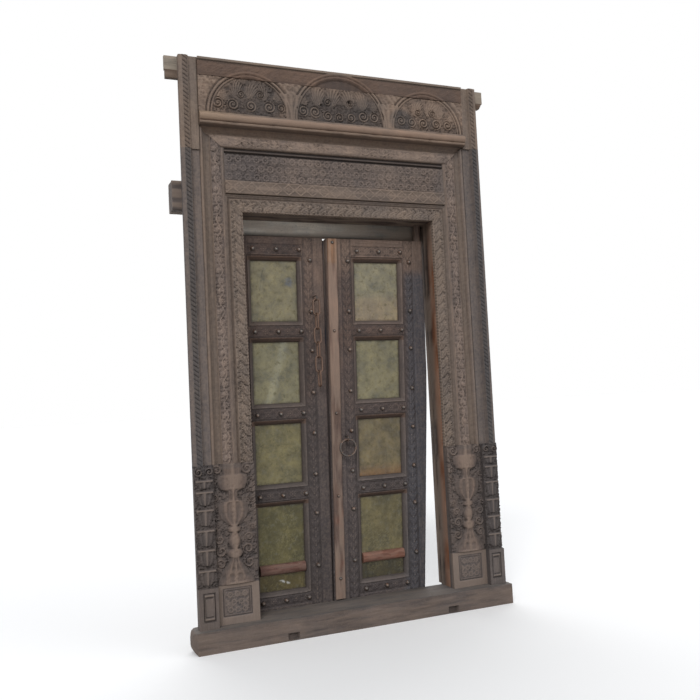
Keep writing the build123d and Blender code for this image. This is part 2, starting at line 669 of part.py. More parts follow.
def make_ring():
    """Round pull ring of eight-sided bar, hanging from the lower leg of its staple."""
    radius = (RING_OUTER - RING_ROD) / 2
    drop = radius - (STAPLE_ROD + RING_ROD) / 2 - HANG_GAP
    weld = (radius, 0)
    ring = forged_bar([weld] + arc_corners((0, 0), radius, 0, 360, 16) + [weld], RING_ROD)
    return Pos(RING_EYE[0], LEAF_FRONT - RING_STANDOFF, RING_EYE[1] - drop) * ring


def make_astragal(leaf):
    """Cover strip planted on the meeting stile of the right leaf."""
    left = leaf.free
    right = (leaf.free[0] + STRIP_WIDTH, leaf.free[1] + STRIP_WIDTH)
    return front_prism(leaf.quad(left, right, SILL_TOP + 6, LEAF_TOP - 3), LEAF_FRONT - STRIP_THICK, LEAF_FRONT)


def make_frame():
    """Every piece of the fixed surround."""
    pieces = {}
    pieces["sill"] = make_sill(RIGHT_AXIS)
    pieces["right_jamb_post"] = make_jamb_post()
    pieces["left_jamb_post"] = mirrored(pieces["right_jamb_post"])
    pieces["right_jamb_plank"] = make_jamb_plank()
    pieces["left_jamb_plank"] = mirrored(pieces["right_jamb_plank"])
    pieces["right_pilaster"] = make_pilaster(SEAM_RIGHT)
    pieces["left_pilaster"] = mirrored(make_pilaster(SEAM_LEFT))
    pieces["right_upper_stile"] = make_upper_stile(SEAM_RIGHT)
    pieces["left_upper_stile"] = mirrored(make_upper_stile(SEAM_LEFT))
    pieces["inner_head"] = make_inner_head()
    pieces["outer_head"] = make_outer_head()
    pieces["lattice_panel"] = make_lattice_panel()
    pieces["lattice_rail"] = make_lattice_rail()
    pieces["ledge"] = make_ledge()
    pieces["frieze_panel"] = make_frieze_panel()
    pieces["frieze_rail"] = make_frieze_rail()
    pieces["lintel_beam"] = make_lintel_beam(RIGHT_AXIS)
    pieces["back_board"] = block(-750, 750, PLANK_BACK, PLANK_BACK + 28, 2125, 2590)
    pieces["top_batten"] = block(-850, 850, PILASTER_BACK, PILASTER_BACK + 22, 2634, HEIGHT)
    strip = [(-846, 2597), (832, 2606), (845, 2634), (-846, 2634)]
    pieces["batten_strip"] = front_prism(strip, PILASTER_BACK, PILASTER_BACK + 26)
    board_half = OPENING_HALF + REBATE_WIDTH - 1
    pieces["head_board"] = block(-board_half, board_half, FRAME_BACK, FRAME_BACK + 21, 1906, 2010)
    return pieces


def make_leaf(name, leaf, edge, heel_top, stud_lines):
    """Every wooden and brass piece of one leaf, and its studs with the holes they are driven into."""
    cutters = chamfer_cutters(leaf)
    hanging_panel, meeting_panel = leaf.panel
    if leaf.axis[0] > 0:
        hanging_panel, meeting_panel = meeting_panel, hanging_panel
    pieces = {}
    pieces["hanging_stile"] = add_heel(make_stile(leaf, edge, hanging_panel, cutters), leaf.axis, heel_top)
    pieces["meeting_stile"] = make_stile(leaf, straight_edge(leaf.free), meeting_panel, cutters)
    for rail, (low, high) in RAIL_HEIGHTS.items():
        pieces[rail] = make_rail(leaf, low, high, cutters)
    openings = panel_openings(leaf)
    for number, outline in enumerate(openings, start=1):
        pieces["brass_panel_" + str(number)] = make_brass(outline)
    pieces["bar"] = make_bar(leaf)
    pieces["boarding"] = make_board(leaf)
    places = rail_studs(leaf) + stile_studs(leaf, stud_lines)
    holes = [spike(x, z, LEAF_FRONT, SPIKE_HALF + SPIKE_CLEARANCE) for x, z in places]
    for word in ("hanging_stile", "meeting_stile", *RAIL_HEIGHTS):
        pieces[word] = pieces[word] - holes
    pieces["studs"] = Compound(children=[stud(x, z) for x, z in places])
    return {name + "_leaf_" + key: shape for key, shape in pieces.items()}


def make_all():
    pieces = make_frame()
    pieces.update(make_leaf("left", LEFT_LEAF, straight_edge(LEFT_AXIS), LEAF_TOP, [(-172, -139)]))
    pieces["left_leaf_meeting_stile"] = pieces["left_leaf_meeting_stile"] + meeting_lip(LEFT_LEAF)
    pieces.update(make_leaf("right", RIGHT_LEAF, BOWED_EDGE, BOWED_EDGE[2][1] + 6, [(362, 418), (20, 68)]))
    strip_front = LEAF_FRONT - STRIP_THICK
    places = [(RIGHT_LEAF.line(RIGHT_LEAF.free, z) + STRIP_WIDTH / 2, z) for z in STRIP_NAILS]
    holes = [spike(x, z, strip_front, SPIKE_HALF + SPIKE_CLEARANCE) for x, z in places]
    pieces["astragal"] = make_astragal(RIGHT_LEAF) - holes
    pieces["right_leaf_meeting_stile"] = pieces["right_leaf_meeting_stile"] - holes
    nails = [stud(x, z, face=strip_front, radius=8, height=6) for x, z in places]
    pieces["astragal_nails"] = Compound(children=nails)
    chain_leg = CHAIN_TOP - LINK_ROD - STAPLE_ROD / 2 - HANG_GAP
    pieces["chain_staple"] = make_staple(CHAIN_X, chain_leg, CHAIN_STANDOFF)
    pieces["ring_staple"] = make_staple(RING_EYE[0], RING_EYE[1], RING_STANDOFF)
    pieces["left_leaf_meeting_stile"] = pieces["left_leaf_meeting_stile"] - pieces["chain_staple"]
    pieces["right_leaf_meeting_stile"] = pieces["right_leaf_meeting_stile"] - pieces["ring_staple"]
    for number, link in enumerate(make_links(), start=1):
        pieces["chain_link_" + str(number)] = link
    pieces["pull_ring"] = make_ring()
    return pieces


if __name__ == "__main__":
    os.makedirs("parts", exist_ok=True)
    for node, shape in make_all().items():
        export_step(Pos(0, -MID_DEPTH, 0) * shape, "parts/" + node + ".step")
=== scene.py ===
from math import radians
import bpy
import numpy as np
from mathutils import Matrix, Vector


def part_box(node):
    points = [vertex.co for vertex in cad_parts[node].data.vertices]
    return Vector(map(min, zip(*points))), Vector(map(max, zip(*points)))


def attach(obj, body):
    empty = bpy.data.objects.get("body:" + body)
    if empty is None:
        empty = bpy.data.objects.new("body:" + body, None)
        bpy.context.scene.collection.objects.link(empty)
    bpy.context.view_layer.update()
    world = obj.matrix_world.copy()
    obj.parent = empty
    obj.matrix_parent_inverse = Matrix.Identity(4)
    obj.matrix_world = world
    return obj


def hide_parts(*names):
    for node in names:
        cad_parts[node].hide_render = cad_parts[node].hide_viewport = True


bl_info = {
    "name": "Carved double door",
    "version": (1, 0, 0),
    "blender": (4, 5, 0),
    "location": "3D View > Sidebar > Door",
    "description": "Dresses a carved timber double door and its surround",
    "category": "Object",
}

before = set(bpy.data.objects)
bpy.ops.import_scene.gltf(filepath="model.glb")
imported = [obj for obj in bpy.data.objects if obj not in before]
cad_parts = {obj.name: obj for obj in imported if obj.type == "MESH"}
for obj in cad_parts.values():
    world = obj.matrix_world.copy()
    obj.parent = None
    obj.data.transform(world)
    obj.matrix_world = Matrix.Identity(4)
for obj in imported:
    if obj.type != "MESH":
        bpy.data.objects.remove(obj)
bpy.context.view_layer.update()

# Places are in millimetres with Y = 0 at the front of the pilasters, as the solids were drawn.
# MID_DEPTH turns them into the frame's metres.
MID_DEPTH = -46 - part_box("sill")[0].y * 1000
HALF_WIDTH = 791
OPENING = 507
OPENING_TOP = 1983
SILL_TOP = 98
BASE_TOP = 815
PLINTH_TOP = 275
PILASTER_IN = 703
FILLET = (585, 598)
SEAMS = {"left": 2264, "right": 2372}
INNER_HEAD_TOP = 2061
RAIL = (2070, 2133)
LATTICE_TOP = 2262
OUTER_HEAD = 2290
LEDGE = (2380, 2442)
FRIEZE_TOP = 2617
HEIGHT = 2700
PLANK_BACK = 60
POST_BACK = 200
LEAF_FRONT = 153
LEAF_BACK = 193
RAIL_THICK = 28
RAIL_BACK = LEAF_FRONT + RAIL_THICK
LEAF_LOW = 84
LEAF_TOP = 1897
RAILS = {
    "bottom_rail": (LEAF_LOW, 178),
    "lower_rail": (582, 686),
    "middle_rail": (974, 1075),
    "upper_rail": (1376, 1478),
    "top_rail": (1780, LEAF_TOP),
}
STUD_ROWS = (133, 632, 1024, 1427, 1836)
STILE_STUDS = (280, 532, 722, 922, 1122, 1330, 1526, 1784)
STRIP_NAILS = (203, 605, 1013, 1425, 1874)
PIN_LINE_DEPTH = 173

# Leaning lines of the leaves, each as X at the leaf's foot and at its head
AXIS = {"left": (-506, -506), "right": (396, 478)}
FREE = {"left": (-98, -66), "right": (-90, -46)}
PANEL = {"left": ((-462, -441), (-232, -202)), "right": ((70, 112), (300, 360))}
STUD_LINES = {"left": ((-172, -139),), "right": ((20, 68), (362, 418))}
BOWED_EDGE = ((84, 398), (102, 399), (106, 414), (434, 438), (690, 456), (1002, 478), (1212, 490),
              (1503, 496), (1897, 499))

# Smaller parts of the posts and the leaves
REBATES = {"left": 530, "right": 515}
REBATE_DEPTH = 150
POST_OUTER = 660
LINTEL_TOP = 2125
STUD_INSET = 8
STRIP_WIDTH = 52
STRIP_THICK = 16
SLIT_DEPTH = 16
BOARD_LAP = 16
BAR_HEIGHTS = (255, 305)
PIN_RADIUS = 18.8
HEEL_RADIUS = 20
SHORT_HEEL_TOP = 110
TONGUE = (6.0, 15.5)
TONGUE_FRONT = 177
PANEL_BEVEL = 20.5
QUIRK_END = 25
RAIL_BAND_HALF = 26
SHEET_GAP = 0.7

# Iron furniture
LINK_LENGTH = 88.0
LINK_WIDTH = 42.0
LINK_COUNT = 6
RING_RADIUS = 41.5
RING_BAR = 5.5
STAPLE_BAR = 3.0

# Sections of the two carved bands, as offset from the inner edge and depth
INNER_BAND = ((0, 37), (4, 33), (55, 33), (61, 40), (64, 50), (68, 50), (70, 45), (78, 44))
OUTER_BAND = ((0, 44), (3, 40), (4, 34), (49, 33), (54, 35), (57, 46), (70, 51), (86, 44), (88, 34), (92, 27),
              (97, 24), (102, 27), (105, 31))
ARCHES = ((-455, 212), (8, 256), (484, 212))

# Ornament of the bands: spacing along each, rise of the outer mitre, and the middles of the carved feet
LEAF_PITCH = 47.0
VINE_PITCH = 48.0
SCALLOP_PITCH = 15.6
OUTER_MITRE = 0.857
POT_MIDDLE = 612.0
TIER_MIDDLE = 747.0


def srgb(red, green, blue):
    """Linear colour of a screen colour given as 0 to 255."""
    c = np.array([red, green, blue]) / 255.0
    return tuple(float(v) for v in np.where(c <= 0.04045, c / 12.92, ((c + 0.055) / 1.055) ** 2.4))


def colour_of(name, description, red, green, blue):
    """Colour setting with its default given as a screen colour."""
    return bpy.props.FloatVectorProperty(name=name, description=description, subtype="COLOR", size=3,
                                         min=0, max=1, default=srgb(red, green, blue))


def length_of(name, description, default, low, high):
    """Length setting in metres."""
    return bpy.props.FloatProperty(name=name, description=description, default=default, min=low, max=high,
                                   unit="LENGTH", subtype="DISTANCE")


class DoorColours(bpy.types.PropertyGroup):
    """Colours of the door's timber, brass and iron."""
    inner_band: colour_of("Inner band", "Carved band beside the opening", 128, 114, 104)
    fillet: colour_of("Fillets", "Plain quirks and fillets between the bands", 84, 74, 69)
    outer_band: colour_of("Outer band", "Carved band next to the pilaster", 134, 118, 109)
    hollow: colour_of("Hollow", "Hollow outside the outer band", 98, 87, 80)
    torus: colour_of("Round edge", "Round edge beside the pilaster", 116, 101, 91)
    pilaster: colour_of("Pilaster", "Flat of the pilasters", 94, 87, 86)
    pilaster_strip: colour_of("Pilaster strip", "Carved strip of the pilasters", 86, 81, 80)
    upper_stile: colour_of("Upper stile", "Stiles beside the frieze", 112, 99, 90)
    head: colour_of("Inner head", "Carved head over the opening", 132, 117, 106)
    rail: colour_of("Carved rail", "Rubbed rail under the lattice", 120, 105, 95)
    lattice: colour_of("Lattice", "Panel of flowers", 114, 101, 94)
    groove: colour_of("Grooves", "Deep grooves over the lattice", 62, 51, 45)
    outer_head: colour_of("Outer head", "Worn head under the ledge", 136, 119, 108)
    ledge: colour_of("Ledge", "Rubbed nose of the ledge", 128, 103, 88)
    cove: colour_of("Cove", "Shaded cove under the ledge", 114, 96, 84)
    frieze: colour_of("Frieze", "Wood of the frieze", 122, 104, 92)
    frieze_rail: colour_of("Frieze rail", "Top rail over the arches", 110, 89, 77)
    capping: colour_of("Capping", "Capping fillet at the very top", 120, 107, 97)
    soot: colour_of("Soot", "Soot and grime on the frieze", 74, 68, 66)
    soot_grey: colour_of("Blue-grey grime", "Cool grime on worn timber", 76, 75, 79)
    foot: colour_of("Jamb foot", "Carved foot with the pot", 100, 89, 84)
    post: colour_of("Reveal", "Inner sides of the jamb posts", 112, 68, 42)
    post_dark: colour_of("Dark reveal", "Shaded parts of the posts and the lintel", 50, 37, 30)
    horn: colour_of("Horn", "Weathered end of the lintel", 96, 87, 84)
    batten: colour_of("Batten", "Pale batten behind the top", 140, 131, 120)
    batten_strip: colour_of("Batten strip", "Darker strip below the batten", 80, 63, 51)
    # Partly the board's own pale colour, partly painted light lifted to make up for the shade it stands in.
    head_board: colour_of("Head board", "Pale board across the back over the leaves", 236, 230, 220)
    sill_front: colour_of("Sill front", "Front of the threshold", 97, 86, 81)
    sill_top: colour_of("Sill top", "Trodden top of the threshold", 96, 92, 90)
    leaf: colour_of("Leaf timber", "Reddish brown of the leaves", 90, 74, 68)
    leaf_low: colour_of("Leaf foot", "Blue-grey timber low on the leaves", 72, 68, 70)
    leaf_grey: colour_of("Leaf edge", "Blue-grey timber near the hinge edge", 72, 73, 80)
    leaf_top: colour_of("Leaf head", "Pinkish timber at the top of the right leaf", 118, 100, 90)
    # Only the bevel above each brass panel takes this colour, as painted shade.
    roll: colour_of("Panel rolls", "Rolls round the brass panels", 88, 68, 58)
    strip: colour_of("Cover strip", "Cover strip on the meeting edge", 122, 98, 86)
    strip_top: colour_of("Cover strip top", "Orange-tan top of the cover strip", 140, 108, 86)
    low_bar_left: colour_of("Left bar", "Low bar of the left leaf", 98, 68, 60)
    low_bar_right: colour_of("Right bar", "Low bar of the right leaf", 114, 78, 66)
    brass: colour_of("Brass", "Rubbed brass", 150, 140, 98)
    brass_shade: colour_of("Brass tarnish", "Dark tarnish in the embossing", 66, 60, 42)
    iron: colour_of("Iron", "Dark forged iron", 74, 70, 68)
    rust: colour_of("Rust", "Brown rust on the iron", 104, 80, 66)


class DoorSizes(bpy.types.PropertyGroup):
    """Sizes that may be changed without touching the solids."""
    grid: length_of("Carving grid", "Distance between points on carved faces", 0.0033, 0.002, 0.01)
    wear: bpy.props.FloatProperty(name="Wear", description="How far the carving is worn down", default=0.35,
                                  min=0, max=1, subtype="FACTOR")
    stud_radius: length_of("Stud radius", "Half width of a nail head", 0.0118, 0.004, 0.02)
    stud_height: length_of("Stud height", "Height of a nail head", 0.0105, 0.002, 0.02)
    link_rod: length_of("Chain bar", "Thickness of a chain link's bar", 0.0084, 0.004, 0.012)


def paint(name):
    """A colour setting as an array."""
    return np.array(getattr(bpy.context.scene.door_colours, name))


def even(name, points):
    """One colour setting at every point."""
    return paint(name)[None, :] + 0 * points


def shade(red, green, blue):
    """A screen colour as a linear array."""
    return np.array(srgb(red, green, blue))


def size_of(name):
    """A size setting in millimetres."""
    return getattr(bpy.context.scene.door_sizes, name) * 1000


def value_noise(u, v, seed):
    """Smooth noise from -1 to 1: random values at whole numbers, blended by a cubic ease between them."""
    iu = np.floor(u)
    iv = np.floor(v)
    fu = u - iu
    fv = v - iv
    fu = fu * fu * (3 - 2 * fu)
    fv = fv * fv * (3 - 2 * fv)

    def corner(a, b):
        n = np.sin(a * 127.1 + b * 311.7 + seed * 74.7) * 43758.5453
        return n - np.floor(n)

    low = corner(iu, iv) * (1 - fu) + corner(iu + 1, iv) * fu
    high = corner(iu, iv + 1) * (1 - fu) + corner(iu + 1, iv + 1) * fu
    return 2 * (low * (1 - fv) + high * fv) - 1


def layered_noise(u, v, seed, layers=3):
    """Sum of noises, each twice as fine and half as strong as the one before."""
    total = 0
    for i in range(layers):
        total = total + value_noise(u * 2**i, v * 2**i, seed + 13 * i) / 2**i
    return total / 1.75


def ease(a, b, x):
    """0 at a, 1 at b and a smooth step between."""
    t = np.clip((x - a) / (b - a), 0, 1)
    return t * t * (3 - 2 * t)


def ridge(distance, width):
    """Rounded ridge: a half circle's height over the distance from its line."""
    return np.sqrt(np.clip(1 - (distance / width) ** 2, 0, 1))


def turned(u, v, angle):
    """Coordinates turned so that +u points at the given angle in degrees."""
    c = np.cos(np.radians(angle))
    s = np.sin(np.radians(angle))
    return u * c + v * s, -u * s + v * c


def flower(u, v, radius, petals, turn=0.0):
    """Flower: petals as cosine lobes round the middle, dished inwards, with a round boss."""
    r = np.hypot(u, v) / radius
    lobe = 0.5 + 0.5 * np.cos(petals * (np.arctan2(v, u) + turn))
    edge = 0.74 + 0.26 * lobe
    petal = np.clip(1 - (r / edge) ** 4, 0, 1) * (0.5 + 0.5 * lobe ** 0.6) * ease(0.1, 0.55, r)
    return np.maximum(petal, ridge(r, 0.27))


def ring_flower(u, v, radius):
    """Flower cut as a rolled ring round a boss, nicked into petals."""
    r = np.hypot(u, v) / radius
    nick = 0.8 + 0.2 * np.cos(8 * np.arctan2(v, u))
    return np.maximum(ridge(r - 0.68, 0.27) * nick, 0.9 * ridge(r, 0.24))


def scroll(u, v, radius, turns, hand=1, turn=0.0):
    """Rolled scroll: a ridge along an Archimedean spiral inside a circle, with a round eye."""
    r = np.hypot(u, v) / radius
    phase = np.mod(hand * (np.arctan2(v, u) + turn) / (2 * np.pi) + r * turns, 1) - 0.5
    coil = np.cos(np.pi * phase) ** 2 * ease(1.02, 0.86, r)
    return np.maximum(coil * ease(0.12, 0.3, r), ridge(r, 0.2))


def fan(u, v, length, spread, ribs, bend=0.0):
    """Half palmette: ribs spreading from a root at the origin along +u, inside a lobed outline."""
    r = np.hypot(u, v) / length
    angle = np.arctan2(v, u) + bend * r
    rib = 0.5 + 0.5 * np.cos(2 * np.pi * ribs * angle / spread)
    reach = np.clip(np.cos(angle / spread * np.pi * 0.8), 0, 1) ** 0.5 * (0.8 + 0.2 * rib)
    inside = ease(1.0, 0.8, r / np.maximum(reach, 1e-3)) * (np.abs(angle) < spread * 0.6)
    return inside * (0.5 + 0.5 * rib ** 0.7) * ease(0, 0.15, r)


def blade(u, v, length, width, bend=0.0, veins=4):
    """Single leaf along +u from the origin: a lens domed across, its middle line bending aside with the
    square of the distance, a groove for the mid rib and nicks slanting forward from it."""
    t = u / length
    half = width * np.sqrt(np.clip(np.sin(np.pi * np.clip(t, 0, 1)), 0, 1)) * (1.15 - 0.4 * t)
    s = (v - bend * length * t * t) / np.maximum(half, 1e-3)
    dome = np.sqrt(np.clip(1 - s * s, 0, 1)) * ((t > 0) & (t < 1))
    rib = 1 - 0.55 * np.exp(-(s / 0.2) ** 2)
    nicks = 0.74 + 0.26 * np.cos(2 * np.pi * veins * (t - 0.3 * np.abs(s)))
    return dome * rib * nicks


def along(u, pitch, motif):
    """Repeats a motif every pitch along u. A motif gets the distance from its own middle and its number, and
    reaches into the next cells, where the highest one shows."""
    cell = np.floor(u / pitch)
    return np.maximum.reduce([motif(u - (cell + k + 0.5) * pitch, cell + k) for k in (-1, 0, 1)])


def foliage(u, v, seed):
    """Small leafy tool marks that fill a ground: the crests of warped fine noise."""
    warp = layered_noise(u / 19, v / 19, seed) * 9
    return 1 - np.abs(layered_noise((u + warp) / 8.5, (v - warp) / 8.5, seed + 1, 2)) * 2.2


def worn(height, where):
    """Carving rubbed down: its tops flattened, and its cutting shallower in slow patches given by where."""
    wear = bpy.context.scene.door_sizes.wear
    flat = np.clip(1.12 * height, 0, 1) ** 0.8
    depth = 1 - wear * ease(-0.5, 0.7, where)
    return 1 - (1 - flat) * depth


def rolled_leaves(u, v, half, pitch):
    """Bold leaves leaning one way across the band, each ending in a rolled tip, with small leaves between."""

    def motif(uc, number):
        au, av = turned(uc + 0.60 * pitch, v + 0.92 * half, 44)
        big = blade(au, av, pitch * 1.45, half * 0.52, -0.22, 7)
        curl = scroll(uc - 0.30 * pitch, v - 0.50 * half, half * 0.46, 1.3, 1)
        bu, bv = turned(uc - 0.05 * pitch, v + 0.98 * half, 74)
        small = 0.85 * blade(bu, bv, half * 1.15, half * 0.3, 0.25, 3)
        cu, cv = turned(uc + 0.30 * pitch, v - 1.0 * half, -38)
        upper = 0.85 * blade(cu, cv, half * 1.1, half * 0.28, -0.2, 3)
        return np.maximum.reduce([big, curl, small, upper])

    return np.maximum(along(u, pitch, motif), 0.5 * foliage(u, v, 31) - 0.08)


def vine(u, v, half, pitch):
    """Wavy stem with a flower and a spray of leaves by turns in its hollows."""
    k = np.pi / pitch
    wave = half * 0.45 * np.sin(k * u)
    stem = 0.85 * ridge(v - wave, half * 0.16)

    def motif(uc, number):
        side = np.where(np.mod(number, 2) == 0, 1.0, -1.0)
        bloom = flower(uc, v + side * half * 0.1, half * 0.68, 7)
        au, av = turned(uc + half * 0.5, side * v + half * 0.9, 52)
        spray = blade(au, av, half * 1.9, half * 0.42, -0.2, 5)
        bu, bv = turned(uc - half * 0.1, side * v + half * 0.9, 84)
        spray = np.maximum(spray, blade(bu, bv, half * 1.3, half * 0.34, 0.2, 4))
        cu, cv = turned(uc + half * 0.6, side * v + half * 0.4, 12)
        spray = np.maximum(spray, 0.9 * blade(cu, cv, half * 1.2, half * 0.3, -0.2, 4))
        main = np.where(np.mod(number, 2) == 0, bloom, spray)
        for hand in (-1, 1):
            du, dv = turned(uc - pitch * 0.5, hand * v - half * 0.15, 90)
            main = np.maximum(main, 0.8 * blade(du, dv, half * 0.9, half * 0.28, 0.1, 3))
        return main

    return np.maximum.reduce([stem, along(u, pitch, motif), 0.5 * foliage(u, v, 37) - 0.08])


def slanted_row(u, v, half, pitch):
    """Row of slanting lens-shaped leaves, each with a mid vein."""
    s = np.mod(u + v * 0.75, pitch) - pitch / 2
    lens = ridge(s, pitch * 0.44) * ridge(v, half * 1.1)
    return lens * (1 - 0.45 * ridge(s, pitch * 0.1))


def lattice(u, v, pitch, row):
    """Staggered rows of ring flowers with a bud between every four."""
    line = np.floor(v / row)
    shift = pitch / 2 * np.mod(line, 2)
    uc = np.mod(u + shift, pitch) - pitch / 2
    vc = v - (line + 0.5) * row
    bud = 0.75 * ridge(np.hypot(np.abs(uc) - pitch / 2, vc), pitch * 0.12)
    cross = 0.6 * flower(np.abs(uc) - pitch / 2, np.abs(vc) - row * 0.5, pitch * 0.2, 4)
    return np.maximum.reduce([ring_flower(uc, vc, pitch * 0.44), bud, cross])


def lozenges(u, v, half, pitch):
    """Low crossed lozenges with a small flower in each."""
    uc = np.mod(u, pitch) - pitch / 2
    line = ridge(np.abs(uc) / pitch * 2 + np.abs(v) / half - 0.95, 0.16)
    corner = fan(pitch / 2 - np.abs(uc), np.abs(v), half * 0.9, 2.6, 3)
    return np.maximum.reduce([line, flower(uc, v, half * 0.55, 6, 0.785), 0.6 * corner])


def rail_leaves(u, v):
    """Leaf-rail ornament: flowers with leaves facing between them."""
    pitch = 56.0
    uc = np.mod(u + pitch / 2, pitch) - pitch / 2
    motif = flower(uc, v, 20, 8)
    for hand in (-1, 1):
        au, av = turned(np.abs(uc) - pitch * 0.22, hand * v - 2, 62)
        motif = np.maximum(motif, 0.9 * blade(au, av, 26, 7.5, -0.15, 4))
        bu, bv = turned(pitch / 2 - np.abs(uc) + 2, hand * v, 90)
        motif = np.maximum(motif, 0.9 * blade(bu, bv, 22, 6.5, 0.0, 3))
    return np.maximum(motif, 0.4 * foliage(u, v, 41))


def stile_leaves(u, v, half):
    """Stile ornament: leaf pairs springing from a mid line, with a bud at every joint."""
    pitch = 42.0

    def motif(uc, number):
        au, av = turned(uc + pitch * 0.45, np.abs(v), 33)
        big = blade(au, av, half * 1.55, half * 0.36, -0.15, 4)
        bu, bv = turned(uc + pitch * 0.1, np.abs(v), 66)
        small = 0.9 * blade(bu, bv, half * 1.0, half * 0.26, -0.1, 3)
        return np.maximum.reduce([big, small, 0.9 * ridge(np.hypot(uc - pitch * 0.42, v), 6)])

    return np.maximum.reduce([along(u, pitch, motif), 0.7 * ridge(v, 3), 0.35 * foliage(u, v, 43)])


class Shells:
    """Closed pieces gathered into one mesh, each point with a relief value."""

    def __init__(self):
        self.points = []
        self.quads = []
        self.caps = []
        self.relief = []
        self.count = 0

    def add(self, points, quads, caps, relief):
        """Takes in one closed piece, its faces numbered from its own first point."""
        self.points.append(points)
        self.quads.append(quads + self.count)
        self.caps += [cap + self.count for cap in caps]
        self.relief.append(relief)
        self.count += len(points)

    def board(self, x, z, y, back, relief):
        """Board with a carved face: the grid y(x, z) in front, a flat back, and walls round the edge."""
        rows, cols = x.shape
        front = np.arange(rows * cols).reshape(rows, cols)
        ring = np.concatenate([front[0, :], front[1:, -1], front[-1, -2::-1], front[-2:0:-1, 0]])
        face = np.stack([x.ravel(), y.ravel(), z.ravel()], 1)
        rear = face[ring].copy()
        rear[:, 1] = back
        tail = np.arange(len(ring)) + rows * cols
        quads = np.stack([front[:-1, :-1], front[:-1, 1:], front[1:, 1:], front[1:, :-1]], -1).reshape(-1, 4)
        walls = np.stack([ring, tail, np.roll(tail, -1), np.roll(ring, -1)], 1)
        cap = tail[::-1]
        if (x[0, -1] - x[0, 0]) * (z[-1, 0] - z[0, 0]) < 0:
            quads = quads[:, ::-1]
            walls = walls[:, ::-1]
            cap = cap[::-1]
        grade = np.concatenate([relief.ravel(), np.full(len(ring), 0.6)])
        self.add(np.concatenate([face, rear]), np.concatenate([quads, walls]), [cap], grade)

    def sweep(self, rings, relief, closed=False):
        """Skin over a stack of rings, rings[i, j] being point j of ring i, with flat ends."""
        n, k, _ = rings.shape
        index = np.arange(n * k).reshape(n, k)
        if closed:
            index = np.concatenate([index, index[:1]])
        near = index[:-1]
        far = index[1:]
        quads = np.stack([near, np.roll(near, -1, 1), np.roll(far, -1, 1), far], -1).reshape(-1, 4)
        caps = [] if closed else [index[0, ::-1], index[-1]]
        points = rings.reshape(-1, 3)
        outward = points - rings.mean(axis=1).repeat(k, axis=0)
        first = quads[0]
        normal = np.cross(points[first[1]] - points[first[0]], points[first[3]] - points[first[0]])
        if np.dot(normal, outward[first[0]]) < 0:
            quads = quads[:, ::-1]
            caps = [cap[::-1] for cap in caps]
        self.add(points, quads, caps, np.broadcast_to(relief, (n, k)).ravel())

    def build(self, name, body, finish, tint, stands_for=(), flat_angle=50):
        """The mesh object in the frame's metres, with its relief and tint attributes."""
        points = np.concatenate(self.points)
        quads = np.concatenate(self.quads)
        sizes = np.concatenate([np.full(len(quads), 4), np.array([len(c) for c in self.caps], int)])
        loops = np.concatenate([quads.ravel()] + self.caps).astype(np.int32)
        starts = np.concatenate([[0], np.cumsum(sizes)[:-1]]).astype(np.int32)
        mesh = bpy.data.meshes.new(name)
        mesh.vertices.add(len(points))
        mesh.loops.add(len(loops))
        mesh.polygons.add(len(sizes))
        placed = (points - np.array([0, MID_DEPTH, 0])) / 1000
        mesh.vertices.foreach_set("co", placed.astype(np.float32).ravel())
        mesh.loops.foreach_set("vertex_index", loops)
        mesh.polygons.foreach_set("loop_start", starts)
        mesh.update(calc_edges=True)
        mesh.validate()
        grade = mesh.attributes.new("relief", "FLOAT", "POINT")
        grade.data.foreach_set("value", np.concatenate(self.relief).astype(np.float32))
        colour = np.ones((len(points), 4), np.float32)
        colour[:, :3] = np.clip(tint(points), 0, 1)
        stain = mesh.attributes.new("tint", "FLOAT_COLOR", "POINT")
        stain.data.foreach_set("color", colour.ravel())
        mesh.shade_smooth()
        mesh.set_sharp_from_angle(angle=radians(flat_angle))
        piece = bpy.data.objects.new(name, mesh)
        bpy.context.scene.collection.objects.link(piece)
        mesh.materials.append(finish_of(finish))
        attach(piece, body)
        if stands_for:
            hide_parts(*stands_for)
        return piece


def span(a, b, step):
    """Evenly spaced values from a to b, about step apart."""
    return np.linspace(a, b, max(2, int(round(abs(b - a) / step)) + 1))


def lean(ends, z):
    """X of a leaf's leaning line at height z, or of its bowed edge."""
    if len(ends) > 2:
        table = np.array(ends, float)
        return np.interp(z, table[:, 0], table[:, 1])
    return ends[0] + (ends[1] - ends[0]) * (z - LEAF_LOW) / (LEAF_TOP - LEAF_LOW)


def shifted(ends, distance):
    """A leaning line moved along X."""
    return tuple(x + distance for x in ends)


def slant_grid(left, right, low, high, step):
    """Grid between two edges of a leaf from low to high."""
    middle = (low + high) / 2
    t = span(0, 1, step / abs(lean(right, middle) - lean(left, middle)))
    tt, zz = np.meshgrid(t, span(low, high, step))
    return lean(left, zz) * (1 - tt) + lean(right, zz) * tt, zz


